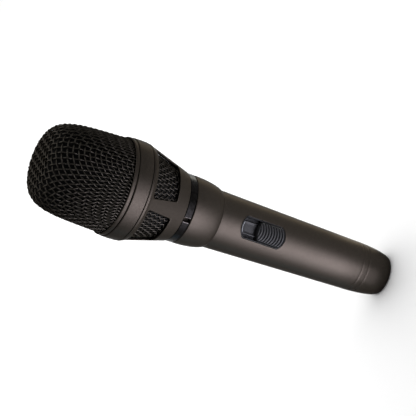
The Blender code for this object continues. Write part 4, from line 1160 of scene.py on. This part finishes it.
def make_floor():
    """Plain pale floor just below the tail face."""
    mesh = bpy.data.meshes.new("floor")
    corners = [(-1, -1), (1, -1), (1, 1), (-1, 1)]
    level = TAIL - FLOOR_GAP * MM
    mesh.from_pydata([(x * FLOOR_REACH, y * FLOOR_REACH, level) for x, y in corners], [], [(0, 1, 2, 3)])
    floor = placed("floor", mesh)
    material = bpy.data.materials.new("pale_floor")
    material.use_nodes = True
    tree = material.node_tree
    tree.nodes.clear()
    diffuse = tree.nodes.new("ShaderNodeBsdfDiffuse")
    set_inputs(diffuse, {"Color": FLOOR_COLOUR})
    output = tree.nodes.new("ShaderNodeOutputMaterial")
    tree.links.new(diffuse.outputs["BSDF"], output.inputs["Surface"])
    mesh.materials.append(material)


def make_world():
    """White surroundings, brighter to the eye and in gloss than as light."""
    world = bpy.data.worlds.new("studio")
    world.use_nodes = True
    bpy.context.scene.world = world
    tree = world.node_tree
    back = tree.nodes["Background"]
    set_inputs(back, {"Color": WORLD_COLOUR})
    level = tree.nodes.new("ShaderNodeMapRange")
    set_inputs(level, {"To Min": AMBIENT, "To Max": SEEN_LEVEL})
    tree.links.new(seen_directly(tree), level.inputs["Value"])
    tree.links.new(level.outputs["Result"], back.inputs["Strength"])


def soft_light(name, place, aim, size, power, colour=(1.0, 1.0, 1.0), spread=pi):
    """Rectangular soft light at a place in millimetres, aimed at another, hidden from the camera."""
    lamp = bpy.data.lights.new(name, "AREA")
    lamp.shape = "RECTANGLE"
    lamp.size, lamp.size_y = size
    lamp.energy = power
    lamp.spread = spread
    lamp.color = colour
    light = placed(name, lamp)
    light.location = Vector(place) * MM + Vector((0.0, 0.0, TAIL))
    light.rotation_euler = (Vector(place) - Vector(aim)).to_track_quat("Z", "Y").to_euler()
    light.visible_camera = False
    return light


def upright_strip(name, azimuth, power, colour, foot=STRIP_FOOT):
    """Narrow soft light close beside the object, leaning back, that shines across it and not on the floor."""
    middle = (foot + STRIP_TOP) / 2
    middle_r = STRIP_FOOT_R + middle * tan(STRIP_LEAN)
    place = (middle_r * cos(azimuth), middle_r * sin(azimuth), middle)
    aim = (0.0, 0.0, middle + middle_r * tan(STRIP_LEAN))
    size = (middle_r * STRIP_STEP * MM, (STRIP_TOP - foot) / cos(STRIP_LEAN) * MM)
    soft_light(name, place, aim, size, power, colour, STRIP_SPREAD)


def foot_light(name, azimuth, power, colour):
    """Small soft light low beside the tail, turned up at it."""
    place = (FOOT_R * cos(azimuth), FOOT_R * sin(azimuth), FOOT_HEIGHT)
    soft_light(name, place, (0.0, 0.0, FOOT_HEIGHT + FOOT_R), FOOT_SIZE, power, colour, FOOT_SPREAD)


def make_lights():
    """Strips and foot lights close about the object, and two soft boxes above.

    The strips in front fade from the middle of their bank, and a warm and a weak cool one stand at the sides.
    Only the lower box shows in gloss.
    """
    for step in range(-KEY_STEPS, KEY_STEPS + 1):
        fade = cos(pi / 2 * step / (KEY_STEPS + 1)) ** 2
        upright_strip("key", KEY_AZIMUTH + step * STRIP_STEP, KEY_POWER * fade, KEY_COLOUR)
    upright_strip("side", SIDE_AZIMUTH, SIDE_POWER, SIDE_COLOUR, 0.0)
    upright_strip("cool_side", COOL_AZIMUTH, COOL_POWER, COOL_COLOUR, 0.0)
    foot_light("key_foot", FOOT_AZIMUTH, FOOT_POWER, KEY_COLOUR)
    foot_light("side_foot", SIDE_AZIMUTH, SIDE_FOOT_POWER, SIDE_COLOUR)
    for name, height, glossy in BOXES:
        box = soft_light(name, (*BOX_PLACE, height), (*BOX_PLACE, 0), BOX_SIZE, BOX_POWER)
        box.visible_glossy = glossy


def make_camera():
    """Camera at the photograph's viewing angle."""
    camera = bpy.data.cameras.new("camera")
    camera.lens = LENS
    camera.sensor_width = SENSOR
    view = placed("camera", camera)
    turn = Matrix((CAMERA_RIGHT, CAMERA_UP, CAMERA_BACK)).transposed().to_4x4()
    view.matrix_world = Matrix.Translation(CAMERA_PLACE) @ turn
    bpy.context.scene.camera = view


make_camera()
finish_nodes()
make_handle()
make_neck()
make_rings()
make_accent_ring()
make_grille()
make_foam()
make_neck_mesh()
make_neck_liner()
make_bezel()
make_button()
make_floor()
make_world()
make_lights()
bpy.context.scene.view_settings.view_transform = "Standard"
